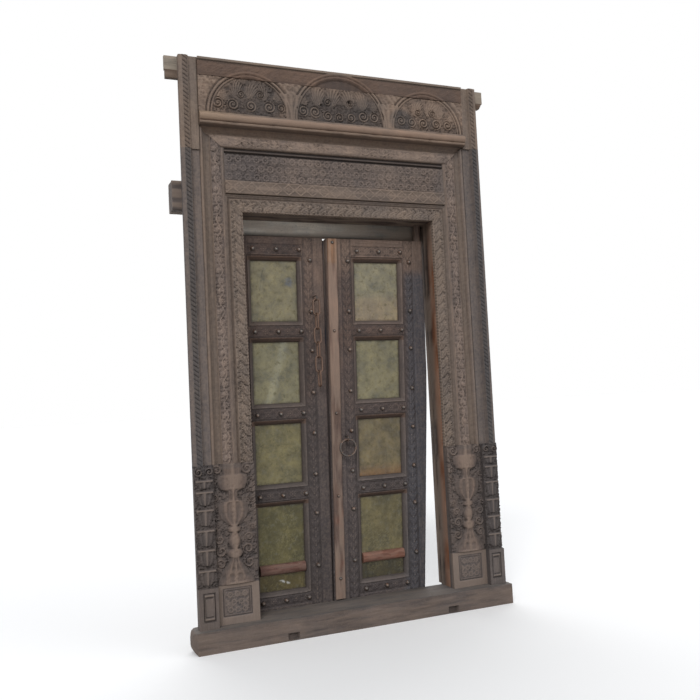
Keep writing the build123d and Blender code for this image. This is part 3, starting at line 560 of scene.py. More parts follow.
def rounded_box_rings(low, high, axis, step, radius, wear, seed):
    """Rings round a bar along an axis: a rounded rectangle, worn inwards by noise that runs with the grain.
    low and high are corner arrays (n, 3) along the bar."""
    a, b = [i for i in range(3) if i != axis]
    n = len(low)
    width = (high - low).mean(axis=0)
    counts = [max(2, int(width[a] / step)), max(2, int(width[b] / step))]
    arc = np.linspace(0, np.pi / 2, 4)
    corners = [(1, 1), (0, 1), (0, 0), (1, 0)]
    sides = []
    for number, (ca, cb) in enumerate(corners):
        angle = arc + number * np.pi / 2
        sides.append(np.stack([np.full(4, ca), np.full(4, cb), np.cos(angle), np.sin(angle)], 1))
        na, nb = corners[(number + 1) % 4]
        t = np.linspace(0, 1, counts[number % 2] + 1)[1:-1]
        flat = np.ones(len(t))
        sides.append(np.stack([ca + (na - ca) * t, cb + (nb - cb) * t, np.cos(angle[-1]) * flat,
                               np.sin(angle[-1]) * flat], 1))
    ring = np.concatenate(sides)
    k = len(ring)
    points = np.zeros((n, k, 3))
    around = np.arange(k)[None, :] * step
    length = low[:, axis][:, None]
    rough = np.clip(layered_noise(length / 140, around / 22, seed) + 0.25, 0, 1.2) * wear
    for i, column, normal in ((a, 0, 2), (b, 1, 3)):
        near = (low + radius)[:, i][:, None]
        far = (high - radius)[:, i][:, None]
        base = near * (1 - ring[:, column]) + far * ring[:, column]
        points[:, :, i] = base + (radius - rough) * ring[:, normal]
    points[:, :, axis] = length
    return points, 1 - rough / max(wear, 1e-6) * 0.5


def bar(shells, x, y, z, axis, step=12, radius=3, wear=1.0, seed=1):
    """Adds a worn straight bar between corner values; x, y and z are (low, high) pairs."""
    length = (x, y, z)[axis]
    places = span(length[0], length[1], step)
    corners = []
    for end in (0, 1):
        columns = [np.full(len(places), float(pair[end])) for pair in (x, y, z)]
        columns[axis] = places
        corners.append(np.stack(columns, 1))
    rings, grade = rounded_box_rings(corners[0], corners[1], axis, step, radius, wear, seed)
    shells.sweep(rings, grade)


def slat(shells, left, right, front, back, low, high, step, radius, wear, seed):
    """Adds a worn bar between two leaning lines of a leaf."""
    z = span(low, high, 12)
    corners = [np.stack([lean(left, z), np.full_like(z, front), z], 1),
               np.stack([lean(right, z), np.full_like(z, back), z], 1)]
    rings, grade = rounded_box_rings(corners[0], corners[1], 2, step, radius, wear, seed)
    shells.sweep(rings, grade)


def node(tree, kind, **values):
    """New shader node; values set its properties, or its inputs by name."""
    made = tree.nodes.new(kind)
    for key, value in values.items():
        if hasattr(made, key):
            setattr(made, key, value)
        else:
            made.inputs[key.replace("_", " ")].default_value = value
    return made


def new_material(name):
    """Empty material with its node tree and its shader."""
    material = bpy.data.materials.new(name)
    material.use_nodes = True
    tree = material.node_tree
    return material, tree, tree.nodes["Principled BSDF"]


def mapped(tree, scale):
    """Object coordinates stretched by a scale, so that a pattern runs with the grain."""
    coords = node(tree, "ShaderNodeTexCoord")
    mapping = node(tree, "ShaderNodeMapping", Scale=scale)
    tree.links.new(coords.outputs["Object"], mapping.inputs["Vector"])
    return mapping.outputs["Vector"]


def noise_value(tree, vector, scale, detail=5.0, roughness=0.6):
    """Socket of a noise texture from 0 to 1."""
    made = node(tree, "ShaderNodeTexNoise", Scale=scale, Detail=detail, Roughness=roughness)
    tree.links.new(vector, made.inputs["Vector"])
    return made.outputs["Fac"]


def ramp(tree, value, low, high, out_low=0.0, out_high=1.0):
    """Value carried from the range low..high to out_low..out_high, held at its ends."""
    made = node(tree, "ShaderNodeMapRange", From_Min=low, From_Max=high, To_Min=out_low, To_Max=out_high)
    tree.links.new(value, made.inputs["Value"])
    return made.outputs["Result"]


def mix(tree, factor, a, b, blend="MIX"):
    """Mixed colour; each of factor, a and b is a socket or a plain value."""
    made = node(tree, "ShaderNodeMix", data_type="RGBA", blend_type=blend)
    for index, value in ((0, factor), (6, a), (7, b)):
        if isinstance(value, bpy.types.NodeSocket):
            tree.links.new(value, made.inputs[index])
        elif index == 0:
            made.inputs[0].default_value = value
        else:
            made.inputs[index].default_value = (*value, 1.0)
    return made.outputs[2]


def attribute(tree, name, output="Fac"):
    """Socket that reads one of the mesh's attributes."""
    made = node(tree, "ShaderNodeAttribute")
    made.attribute_name = name
    return made.outputs[output]


def bumped(tree, shader, height, strength, distance):
    """Bump from a height value on the shader's normal."""
    bump = node(tree, "ShaderNodeBump", Strength=strength, Distance=distance)
    tree.links.new(height, bump.inputs["Height"])
    tree.links.new(bump.outputs["Normal"], shader.inputs["Normal"])


def wood(name, grain, contrast=1.0, crevice_grime_and_shade=0.72, bump=0.45):
    """Weathered timber: the piece's own tint, streaks and cracks along the grain, cool grime in blotches,
    the cut ground darkened partly by grime and partly by painted shade, and paler crests, partly wear
    and partly a painted highlight."""
    material, tree, shader = new_material(name)
    stretch = [1.0, 1.0, 1.0]
    stretch["XYZ".index(grain)] = 0.07
    fibre = noise_value(tree, mapped(tree, stretch), 260.0, 6.0, 0.7)
    figure = noise_value(tree, mapped(tree, stretch), 95.0, 4.0, 0.6)
    blotch = noise_value(tree, mapped(tree, (1, 1, 1)), 11.0, 5.0, 0.62)
    speck = noise_value(tree, mapped(tree, (1, 1, 1)), 120.0, 4.0, 0.65)
    tint = attribute(tree, "tint", "Color")
    relief = attribute(tree, "relief")
    near = 0.20 * contrast
    streaks = mix(tree, ramp(tree, fibre, 0.32, 0.68), (1 - near,) * 3, (1 + near, 1 + near, 1 + near * 0.9))
    colour = mix(tree, 1.0, tint, streaks, "MULTIPLY")
    slow = 0.14 * contrast
    bands = mix(tree, ramp(tree, figure, 0.35, 0.68), (1 - slow,) * 3,
                (1 + slow, 1 + slow * 0.9, 1 + slow * 0.8))
    colour = mix(tree, 1.0, colour, bands, "MULTIPLY")
    patches = mix(tree, ramp(tree, blotch, 0.3, 0.7), (0.86, 0.88, 0.91), (1.13, 1.10, 1.06))
    colour = mix(tree, 1.0, colour, patches, "MULTIPLY")
    dust = ramp(tree, speck, 0.55, 0.75, 0.0, 0.28)
    colour = mix(tree, dust, colour, srgb(142, 130, 120))
    pits = ramp(tree, speck, 0.30, 0.42, 0.35, 0.0)
    colour = mix(tree, pits, colour, srgb(58, 50, 47))
    crack = ramp(tree, fibre, 0.26, 0.33, 0.5, 0.0)
    colour = mix(tree, crack, colour, srgb(44, 37, 34))
    # Low relief in the cut ground is darkened, partly as grime and partly as painted shade.
    grime_and_shade = ramp(tree, relief, 0.05, 0.72, crevice_grime_and_shade, 0.0)
    colour = mix(tree, grime_and_shade, colour, srgb(54, 48, 46))
    # High relief is paled, partly as rubbed wear and partly as a painted highlight.
    wear_and_highlight = ramp(tree, relief, 0.70, 0.95, 0.0, 0.36)
    colour = mix(tree, wear_and_highlight, colour, srgb(164, 144, 128))
    tree.links.new(colour, shader.inputs["Base Color"])
    tree.links.new(ramp(tree, speck, 0.3, 0.7, 0.60, 0.86), shader.inputs["Roughness"])
    shader.inputs["Specular IOR Level"].default_value = 0.28
    bumped(tree, shader, mix(tree, 0.5, fibre, speck), bump, 0.0013)
    return material


def old_brass(name):
    """Dull embossed sheet: olive and grey tarnish, rubbed raised work, cloudy stains and dark edges."""
    material, tree, shader = new_material(name)
    cloud = noise_value(tree, mapped(tree, (1, 1, 1)), 13.0, 6.0, 0.68)
    fine = noise_value(tree, mapped(tree, (1, 1, 1)), 150.0, 4.0, 0.6)
    mottle = noise_value(tree, mapped(tree, (1, 1, 1)), 42.0, 5.0, 0.65)
    streak = noise_value(tree, mapped(tree, (1.0, 1.0, 0.3)), 30.0, 5.0, 0.6)
    tint = attribute(tree, "tint", "Color")
    relief = attribute(tree, "relief")
    shift = mix(tree, ramp(tree, cloud, 0.34, 0.66), (0.66, 0.68, 0.74), (1.34, 1.30, 1.16))
    colour = mix(tree, 1.0, tint, shift, "MULTIPLY")
    colour = mix(tree, ramp(tree, mottle, 0.52, 0.74, 0.0, 0.42), colour, srgb(116, 114, 104))
    colour = mix(tree, ramp(tree, mottle, 0.32, 0.47, 0.6, 0.0), colour, srgb(76, 69, 44))
    colour = mix(tree, ramp(tree, streak, 0.56, 0.74, 0.0, 0.35), colour, srgb(138, 130, 98))
    colour = mix(tree, ramp(tree, relief, 0.55, 1.0, 0.0, 0.32), colour, tuple(paint("brass")))
    colour = mix(tree, ramp(tree, relief, 0.0, 0.35, 0.55, 0.0), colour, tuple(paint("brass_shade")))
    tree.links.new(colour, shader.inputs["Base Color"])
    tree.links.new(ramp(tree, fine, 0.3, 0.7, 0.42, 0.64), shader.inputs["Roughness"])
    shader.inputs["Metallic"].default_value = 0.35
    bumped(tree, shader, mix(tree, 0.5, fine, mottle), 0.45, 0.0011)
    return material


def forged_iron(name):
    """Dark forged iron with brown rust in patches, a painted highlight where the relief is high and painted
    shade where it is low.
    """
    material, tree, shader = new_material(name)
    patch = noise_value(tree, mapped(tree, (1, 1, 1)), 70.0, 5.0, 0.6)
    fine = noise_value(tree, mapped(tree, (1, 1, 1)), 420.0, 4.0, 0.6)
    tint = attribute(tree, "tint", "Color")
    relief = attribute(tree, "relief")
    colour = mix(tree, ramp(tree, patch, 0.44, 0.62), tint, tuple(paint("rust")))
    # Painted highlight: high relief, on the crowns of nail heads and the outer faces of rods, is paled.
    colour = mix(tree, ramp(tree, relief, 0.72, 1.0, 0.0, 0.65), colour, srgb(158, 150, 142))
    # Painted shade: low relief, round the rims of the nail heads, is darkened.
    colour = mix(tree, ramp(tree, relief, 0.0, 0.3, 0.6, 0.0), colour, srgb(38, 33, 31))
    tree.links.new(colour, shader.inputs["Base Color"])
    shader.inputs["Metallic"].default_value = 0.45
    tree.links.new(ramp(tree, fine, 0.3, 0.7, 0.38, 0.66), shader.inputs["Roughness"])
    bumped(tree, shader, fine, 0.5, 0.0008)
    return material


FINISHES = {}
FINISH_MAKERS = {
    "upright": lambda: wood("carved_timber_upright", "Z"),
    "level": lambda: wood("carved_timber_level", "X"),
    "leaf_upright": lambda: wood("leaf_timber_upright", "Z", 1.2, 0.8),
    "leaf_level": lambda: wood("leaf_timber_level", "X", 1.2, 0.8),
    "plain_upright": lambda: wood("plain_timber_upright", "Z", 1.05, 0.5, 0.6),
    "plain_level": lambda: wood("plain_timber_level", "X", 1.05, 0.5, 0.6),
    "clean_level": lambda: wood("pale_timber_level", "X", 0.6, 0.0, 0.25),
    "brass": lambda: old_brass("old_sheet_brass"),
    "iron": lambda: forged_iron("forged_iron"),
}


def finish_of(key):
    """Each finish is made once and shared."""
    if key not in FINISHES:
        FINISHES[key] = FINISH_MAKERS[key]()
    return FINISHES[key]


def blend(a, b, t):
    """Colours a and b mixed by t at every point."""
    t = np.clip(t, 0, 1)[:, None]
    return a * (1 - t) + b * t


def colour_along(value, stops):
    """Colour settings blended along a value, stops being (place, setting) pairs."""
    places = [place for place, _ in stops]
    table = np.array([paint(name) for _, name in stops])
    return np.stack([np.interp(value, places, table[:, i]) for i in range(3)], 1)


def weathered(points, colour, seed=0, soot=0.30, spread=0.13):
    """Slow light and dark drifts over a colour, with patches of cool grime."""
    x, y, z = points.T
    drift = layered_noise(x / 150 + y / 90, z / 190, 5 + seed)
    patch = ease(0.0, 0.6, layered_noise(x / 120 + 3, z / 240, 11 + seed)) * soot
    return blend(colour * (1 + spread * drift[:, None]), paint("soot_grey"), patch)


def head_board_tint(points):
    """Pale, partly its own weathered colour and partly painted light in its shade, palest at the left, with
    a painted shadow along its lower edge just over the leaves.
    """
    x, y, z = points.T
    # The pale is partly painted light, standing in for light the shaded board lacks.
    pale = blend(even("head_board", points), shade(118, 114, 108), ease(-300, 420, x))
    # Painted shadow along the board's lower edge, just over the leaves.
    shaded_low_edge = ease(1930, 1922, z) * (y < 206)
    return weathered(points, blend(pale, shade(62, 55, 51), shaded_low_edge), 5, 0.0, 0.06)


def flat_tint(name, seed=3, soot=0.2, spread=0.13):
    """Tint of one colour setting, weathered."""

    def tint(points):
        return weathered(points, even(name, points), seed, soot, spread)

    return tint


def jamb_tint(points):
    """Bands across the jamb, each with its own brown, the browner foot with grime low down, and painted shade
    on the round edge of the right-hand jamb.
    """
    x, y, z = points.T
    bands = colour_along(np.abs(x), ((507, "inner_band"), (564, "inner_band"), (570, "fillet"),
                                     (584, "fillet"), (590, "fillet"), (601, "outer_band"),
                                     (649, "outer_band"), (655, "hollow"), (682, "hollow"),
                                     (689, "torus"), (703, "torus")))
    colour = blend(bands, even("foot", points), ease(BASE_TOP + 4, BASE_TOP - 4, z))
    colour = blend(colour, paint("soot_grey"), 0.35 * ease(420, 120, z))
    foot = (z > PLINTH_TOP) & (z < BASE_TOP - 20)
    colour = blend(colour, shade(126, 98, 80), 0.20 * ease(22, 13, y) * foot)
    colour = blend(colour, paint("soot_grey"), 0.35 * ease(24, 30, y) * foot)
    # Painted shade: the right-hand jamb's round edge is darkened towards the pilaster's grey.
    shaded_right_torus = ease(684, 689, x) * ease(BASE_TOP, BASE_TOP + 20, z)
    colour = blend(colour, paint("pilaster"), 0.55 * shaded_right_torus)
    return weathered(points, colour, 1)


def pilaster_tint(points):
    """Grey flat and strip of the pilasters, with the foot's colour below, darker on the right-hand one."""
    x, _, z = points.T
    colour = colour_along(np.abs(x), ((703, "pilaster"), (745, "pilaster"), (750, "pilaster_strip"),
                                      (775, "pilaster_strip"), (780, "pilaster")))
    colour = blend(colour, even("foot", points), 0.5 * ease(BASE_TOP, BASE_TOP - 20, z))
    return weathered(points, colour * np.where(x[:, None] > 0, np.array([0.80, 0.85, 0.90]), 0.96), 2, 0.45)


def upper_stile_tint(points):
    """Brown stiles beside the frieze, with a paler strip."""
    x = points[:, 0]
    colour = colour_along(np.abs(x), ((703, "upper_stile"), (745, "upper_stile"), (750, "torus"),
                                      (791, "torus")))
    return weathered(points, colour, 4, 0.25)


def heads_tint(points):
    """Boards over the opening, from the inner head up to the cove under the ledge."""
    x, _, z = points.T
    colour = colour_along(z, ((1983, "head"), (2038, "head"), (2046, "fillet"), (2060, "fillet"),
                              (2069, "fillet"), (2072, "rail"), (2131, "rail"), (2135, "lattice"),
                              (2261, "lattice"), (2263, "groove"), (2269, "groove"), (2271, "fillet"),
                              (2280, "fillet"), (2282, "groove"), (2289, "groove"), (2291, "outer_head"),
                              (2341, "outer_head"), (2346, "torus"), (2354, "torus"), (2362, "cove"),
                              (2380, "cove")))
    left = 0.45 * ease(-120, -520, x) * ((z > RAIL[1]) & (z < LATTICE_TOP))
    colour = blend(colour, paint("soot_grey"), left)
    return weathered(points, colour, 6, 0.28)


def ledge_tint(points):
    """Rubbed nose, shaded under it and a little straw-coloured at the left."""
    x, _, z = points.T
    colour = colour_along(z, ((2380, "cove"), (2396, "cove"), (2404, "ledge"), (2430, "ledge"),
                              (2434, "rail"), (2442, "rail")))
    straw = shade(150, 128, 104)
    colour = blend(colour, straw, 0.5 * ease(-300, -700, x) * ease(2400, 2406, z))
    streak = np.clip(layered_noise(x / 90, z / 5, 61), 0, 1)
    return weathered(points, blend(colour, paint("cove"), 0.4 * streak), 7, 0.1)


def frieze_tint(points):
    """Brown wood, sooty inside the arches, most of all in the middle one and beside the right post."""
    x, _, z = points.T
    colour = paint("frieze") * (1 + 0.16 * layered_noise(x / 90, z / 60, 81)[:, None])
    spread = layered_noise(x / 70, z / 50, 82)
    middle = ease(330, 170, np.abs(x + 10)) * ease(2625, 2560, z)
    beside = 0.95 * ease(88, 50, np.hypot(x - 340, (z - 2490) * 1.2))
    left = 0.75 * ease(185, 110, np.hypot(x + 430, (z - 2520) * 1.5))
    soot = np.maximum.reduce([0.85 * middle, beside, left]) + 0.30 * spread
    return blend(colour, paint("soot"), soot)


def frieze_rail_tint(points):
    """Top rail, with a paler capping fillet."""
    z = points[:, 2]
    colour = colour_along(z, ((2617, "frieze_rail"), (2683, "frieze_rail"), (2688, "capping"),
                              (2700, "capping")))
    return weathered(points, colour, 8, 0.2, 0.2)


def post_tint(points):
    """Orange-brown inside the doorway, with painted shade behind and near the top; the rear is grey brown."""
    _, y, z = points.T
    colour = blend(even("post", points), paint("post_dark"), ease(96, 112, y))
    colour = blend(colour, paint("post_dark"), 0.8 * ease(1700, 1960, z))
    return weathered(points, blend(colour, paint("horn"), ease(190, 199, y)), 9, 0.1, 0.25)


def lintel_tint(points):
    """Painted shade in the doorway, grey on the weathered horn and the rear."""
    x, y, _ = points.T
    colour = blend(even("post_dark", points), paint("horn"), ease(-690, -712, x))
    return weathered(points, blend(colour, paint("horn"), ease(190, 199, y)), 10, 0.1, 0.2)


def sill_tint(points):
    """Brown front, grey trodden top, darker towards the leaves inside the opening."""
    x, y, z = points.T
    top = ease(SILL_TOP - 7, SILL_TOP - 2, z) * ease(-45, -36, y)
    colour = blend(even("sill_front", points), paint("sill_top"), top)
    colour = colour * (1 - 0.3 * ease(40, 150, y) * (np.abs(x) < 530))[:, None]
    streak = np.clip(layered_noise(x / 70, z / 7 + y / 7, 111), 0, 1)
    return weathered(points, blend(colour, paint("soot_grey"), 0.5 * streak), 12, 0.25, 0.2)


def panel_gap(x, z, side):
    """Distance from the nearest panel opening of a leaf, negative inside it, and whether the place lies
    above one."""
    low_line, high_line = PANEL[side]
    across = np.maximum(lean(low_line, z) - x, x - lean(high_line, z))
    names = list(RAILS)
    gap = np.full(x.shape, 1e3)
    over = np.zeros(x.shape, bool)
    for below, above in zip(names[:-1], names[1:]):
        low = RAILS[below][1]
        high = RAILS[above][0]
        up = np.maximum(low - z, z - high)
        here = np.maximum(across, up)
        over = np.where(here < gap, z > high - 2, over)
        gap = np.minimum(gap, here)
    return gap, over


def leaf_tint(side):
    """Reddish-brown leaf: cooler low down and near the hinge edge, with painted shade on the bevel above
    each panel, paler grey as painted light on its other bevels, and on the left leaf painted shade on the
    tongue seen through the narrow gap at the meeting edge.
    """

    def tint(points):
        x, y, z = points.T
        colour = even("leaf", points)
        cool = ease(-0.1, 0.7, layered_noise(x / 90, z / 220, 131)) * 0.45
        cool = np.maximum(cool, 0.75 * ease(1480, 700, z))
        colour = blend(colour, paint("leaf_low"), cool)
        if side == "right":
            colour = blend(colour, paint("leaf_top"), ease(1640, 1820, z) * 0.85)
            edge = x - lean(BOWED_EDGE, z)
            colour = blend(colour, paint("leaf_grey"), 0.8 * ease(-132, -95, edge) * ease(1760, 1690, z))
        else:
            colour = colour * 0.84
            warm = ease(-205, -180, x) * ease(1380, 1560, z) * 0.75
            colour = blend(colour, paint("leaf_top"), warm * 0.6)
        gap, over = panel_gap(x, z, side)
        ring = ease(23, 18, gap) * (y < RAIL_BACK - 1)
        # Paler grey on the side and lower bevels is painted light.
        beside = blend(colour, shade(128, 118, 112), 0.3 + 0 * x)
        # The bevel above each panel takes the darker roll colour as painted shade.
        colour = blend(colour, blend(beside, paint("roll"), 0.85 * over), ring)
        if side == "left":
            # Painted shade: the tongue seen through the narrow meeting gap is tinted dark slate.
            painted_slit_shade = (x > lean(FREE[side], z) + 0.5) & (y > LEAF_FRONT + SLIT_DEPTH)
            colour = blend(colour, shade(44, 50, 64), 0.9 * painted_slit_shade)
        return weathered(points, colour, 14, 0.2, 0.2)

    return tint


def strip_tint(points):
    """Cover strip: orange-tan head above a dark joint, pinkish brown below with reddish patches."""
    x, _, z = points.T
    colour = blend(even("strip", points), paint("strip_top"), ease(1764, 1774, z))
    colour = blend(colour, paint("leaf"), 0.75 * ease(1450, 900, z))
    red = ease(0.1, 0.5, layered_noise(x / 60, z / 80, 133)) * ease(700, 480, z)
    colour = blend(colour, shade(112, 74, 60), 0.6 * red)
    joint = np.exp(-((z - 1769) / 3.5) ** 2)
    return weathered(points, blend(colour, paint("post_dark"), 0.8 * joint), 15, 0.25, 0.2)


BRASS_TINTS = {
    "left": ((80, 71, 44), (86, 81, 54), (104, 98, 72), (112, 108, 88), (114, 108, 88)),
    "right": ((64, 59, 44), (95, 88, 64), (103, 93, 72), (112, 107, 87), (122, 117, 100)),
}


def brass_tint(side, number):
    """Tarnish of one sheet: its own olive, darker towards its edges, with scrapes and stains on some."""
    names = list(RAILS)
    low = RAILS[names[number - 1]][1]
    high = RAILS[names[number]][0]
    bare = np.array(srgb(*BRASS_TINTS[side][number]))
    foot = np.array(srgb(*BRASS_TINTS[side][0]))

    def tint(points):
        x, _, z = points.T
        left_line, right_line = PANEL[side]
        inner = np.minimum.reduce([x - lean(left_line, z), lean(right_line, z) - x, z - low, high - z])
        colour = bare[None, :] * (1 + 0.16 * layered_noise(x / 55, z / 55, 172 + number)[:, None])
        if number == 1:
            colour = blend(colour, foot, ease(258, 250, z))
        rim = 0.65 * ease(11, 0, inner + 4 * value_noise(x / 14, z / 14, 5))
        colour = blend(colour, shade(58, 52, 40), rim)
        if side == "left" and number == 4:
            spot = ease(26, 10, np.hypot(x + 246, (z - 1676) * 0.8) + 6 * value_noise(x / 8, z / 8, 3))
            colour = blend(colour, shade(92, 98, 110), 0.7 * spot)
            for a, b in (((-404, 1600), (-378, 1742)), ((-396, 1690), (-372, 1744))):
                colour = blend(colour, shade(60, 56, 50), 0.6 * scratch(x, z, a, b, 1.8))
        if side == "left" and number == 3:
            pale = ease(30, 6, np.abs(x + 330 - (z - 1225) * 0.3) + 10 * layered_noise(x / 20, z / 20, 8))
            colour = blend(colour, shade(150, 148, 130), 0.45 * pale)
        if side == "left" and number == 1:
            wave = np.abs(z - 214 - 7 * np.sin(x / 15))
            smear = ease(7, 3, wave + 4 * np.clip(value_noise(x / 5, z / 5, 9), 0, 1))
            smear = smear * ease(-404, -394, x) * ease(-304, -316, x)
            smear = smear * ease(0.0, 0.25, value_noise(x / 11, z / 40, 4))
            colour = blend(colour, shade(196, 198, 200), 0.8 * smear)
        if side == "right" and number == 2:
            colour = blend(colour, shade(128, 88, 56), 0.45 * ease(760, 690, z))
        if side == "right" and number == 4:
            colour = blend(colour, shade(142, 122, 102), 0.5 * ease(1640, 1560, z))
        return colour

    return tint


def scratch(x, z, a, b, width):
    """Line between two places, fading over its width."""
    run = np.array(b, float) - np.array(a, float)
    t = np.clip(((x - a[0]) * run[0] + (z - a[1]) * run[1]) / run.dot(run), 0, 1)
    away = np.hypot(x - a[0] - t * run[0], z - a[1] - t * run[1])
    return ease(width, width * 0.3, away)


def band_depth(section, offset):
    """Depth of a moulding's section at an offset across it."""
    table = np.array(section, float)
    return np.interp(offset, table[:, 0], table[:, 1])


def carve_inner(u, s):
    """Cutting of the inner band at u along and s across: bold leaves on a sunk ground."""
    inside = ease(2.5, 4.5, s) * ease(57.0, 55.0, s)
    motif = rolled_leaves(u, s - 30, 27.0, LEAF_PITCH)
    return 1 - inside * (1 - worn(motif, layered_noise(u / 130, s / 60, 21))), 9.5


def carve_outer(u, s):
    """Cutting of the outer band: a vine with flowers, shallower than the inner band."""
    inside = ease(2.5, 4.5, s) * ease(51.5, 49.5, s)
    motif = vine(u, s - 26.5, 24.0, VINE_PITCH)
    return 1 - inside * (1 - worn(motif, layered_noise(u / 110, s / 60, 23) + 0.1)), 8.0


def carve_head(u, s):
    """The outer band on the head, rubbed nearly smooth."""
    motif, depth = carve_outer(u, s)
    rubbed = 0.35 + 0.45 * ease(-0.3, 0.5, layered_noise(u / 90, s / 40, 25))
    return 1 - (1 - motif) * rubbed, depth


def carved_board(shells, x, z, base, motif, depth, back, wear=0.6, seed=1):
    """Adds a board whose face is base sunk by depth where the motif is low, with hand-cut unevenness."""
    uneven = np.clip(layered_noise(x / 17, z / 17, seed) * wear, -0.2, 3)
    grain = 0.12 * layered_noise(x / 7, z / 7, seed + 3)
    shells.board(x, z, base + depth * (1 - motif) + uneven, back, np.clip(motif - 0.18 + grain, 0, 1))


def build_jamb(side):
    """Architrave plank of one side: mitred bands, the fillet between them, and the foot with its pot."""
    hand = -1 if side == "left" else 1
    step = size_of("grid")
    shells = Shells()
    for low, high, section, cut, top in (
            (OPENING, FILLET[0], INNER_BAND, carve_inner, lambda s: OPENING_TOP + s),
            (FILLET[1], PILASTER_IN, OUTER_BAND, carve_outer, lambda s: OUTER_HEAD + s * OUTER_MITRE)):
        ss, tt = np.meshgrid(span(0, high - low, step), span(0, 1, step / (OUTER_HEAD - BASE_TOP)))
        z = (BASE_TOP - 6) * (1 - tt) + top(ss) * tt
        motif, depth = cut(z, ss)
        lobes = 0.5 + 0.5 * np.cos(2 * np.pi * z / SCALLOP_PITCH)
        scallop = 2.6 * lobes * ease(7, 0, ss) * (low == OPENING)
        carved_board(shells, hand * (low + ss + scallop), z, band_depth(section, ss), motif, depth,
                     PLANK_BACK, seed=3 + hand)
    x, z = np.meshgrid(span(*FILLET, step), span(BASE_TOP - 6, OUTER_HEAD, 12))
    carved_board(shells, hand * x, z, np.full(x.shape, 44.0), 1 + 0 * x, 0, PLANK_BACK, seed=8)
    x, z = np.meshgrid(span(OPENING, PILASTER_IN, step), span(SILL_TOP, BASE_TOP, step))
    y, relief = pot_carving(x, z, hand)
    shells.board(hand * x, z, y, PLANK_BACK, relief)
    shells.build(side + "_jamb_carving", "frame", "upright", jamb_tint, [side + "_jamb_plank"])


# Half width of the pot by height
POT_OUTLINE = ((275, 90), (290, 88), (312, 74), (340, 52), (372, 30), (392, 22), (400, 34), (412, 38),
               (424, 34), (432, 14), (446, 24), (470, 30), (492, 22), (504, 14), (511, 30), (524, 32),
               (532, 14), (545, 34), (570, 62), (600, 74), (628, 72), (640, 60), (648, 30), (662, 22),
               (688, 26), (700, 60), (713, 64), (722, 70), (745, 74), (760, 70), (768, 44), (790, 50),
               (815, 46))
# Scrolls beside the pot, as (distance from its middle, height, radius, hand)
POT_SCROLLS = ((-62, 425, 27, 1), (62, 425, 27, -1), (-66, 366, 26, -1), (66, 366, 26, 1),
               (-68, 478, 23, 1), (68, 478, 23, -1), (-86, 522, 18, 1), (86, 522, 18, -1),
               (-70, 788, 26, -1), (70, 788, 26, 1), (-86, 690, 18, 1), (84, 668, 20, -1),
               (-88, 648, 17, -1), (88, 622, 16, 1), (84, 735, 15, 1), (-90, 742, 14, 1))
# Leaves beside the pot, as (distance from its middle, height, length, angle, bend)
POT_LEAVES = ((-48, 556, 52, 205, 0.3), (48, 556, 52, -25, -0.3), (-52, 300, 50, 160, 0.3),
              (52, 300, 50, 20, -0.3), (-96, 585, 46, 96, -0.2), (94, 560, 46, 84, 0.2),
              (92, 690, 42, 84, 0.2), (-94, 320, 44, 92, -0.2), (94, 320, 44, 88, 0.2),
              (-96, 530, 44, 100, -0.3), (96, 750, 48, 98, 0.2), (-98, 760, 46, 85, 0.1))


def fluting(angle):
    """Grooves of ribbed work, from 0 on a rib to 1 between two."""
    return 0.5 - 0.5 * np.cos(angle)


def pot_carving(x, z, hand):
    """Foot of the jamb: capital, ribbed neck, gadrooned bowl, foot ring, baluster and leaf skirt as
    half-round forms over a half width given by height, among scrolls and leaves, above a plinth."""
    dx = x - POT_MIDDLE
    outline = np.array(POT_OUTLINE, float)
    half = np.interp(z, outline[:, 0], outline[:, 1])
    body = ridge(dx, half)
    around = np.arcsin(np.clip(dx / half, -1, 1))
    bowl = ease(536, 546, z) * ease(644, 636, z)
    neck = ease(644, 650, z) * ease(700, 694, z)
    skirt = ease(280, 290, z) * ease(396, 388, z)
    cap = ease(760, 768, z)
    ribs = 1 - 0.42 * bowl * fluting(11 * around) - 0.40 * neck * fluting(9 * around)
    ribs = ribs - skirt * 0.45 * fluting(dx / half * 13) * (0.7 + 0.3 * np.cos(z / 5.5))
    ribs = ribs - 0.30 * cap * fluting(dx / 5.2)
    pot = body * ribs * (1 - 0.30 * np.clip(layered_noise(x / 9, z / 9, 19), 0, 1))
    growth = 0.5 * foliage(x, z, 47)
    for cu, cv, radius, turn in POT_SCROLLS:
        growth = np.maximum(growth, scroll(dx - cu, z - cv, radius, 1.7, turn) * 0.9)
    for cu, cv, length, angle, bend in POT_LEAVES:
        au, av = turned(dx - cu, z - cv, angle)
        growth = np.maximum(growth, 0.85 * blade(au, av, length, 11, bend, 5))
    growth = np.where(z < 285, 0.4 * growth, growth)
    edge_leaves = 0.95 * slanted_row(z, x - 514, 9.0, 26.0) * ease(500, 520, z)
    growth = np.maximum(growth, edge_leaves)
    height = np.where(pot > 0.16, 8 + 13 * pot, 14 * worn(growth, layered_noise(x / 70, z / 70, 49)))
    panel = plinth_panel(dx, z)
    plinth = z < PLINTH_TOP
    y = np.where(plinth, 22.5 + 6 * (1 - panel), 33 - height)
    relief = np.where(plinth, panel, np.where(pot > 0.16, 0.12 + 0.8 * pot, height / 17))
    uneven = layered_noise(x / 14, z / 14, 21 + hand) * 0.7
    limit = np.where(np.abs(x) > 688, 33.5, 56.0)
    return np.clip(y + uneven, 9.2, limit), np.clip(relief, 0, 1)


def plinth_panel(dx, z):
    """Plinth with two raised frames round a square of ring flowers and leaves."""
    zc = z - 195.0
    reach = np.maximum(np.abs(dx + 3) / 71.0, np.abs(zc) / 66.0)
    frames = np.maximum(ridge(reach - 1.0, 0.07), ridge(reach - 0.84, 0.05) * 0.8)
    field = np.maximum(lattice(dx + 3, zc + 17, 34.0, 34.0) * 0.9, 0.62 * foliage(dx, z, 53))
    panel = np.where(reach > 1.05, 1.0, np.where(reach > 0.78, frames, worn(field, 0 * dx)))
    return 1 - (1 - panel) * 0.7


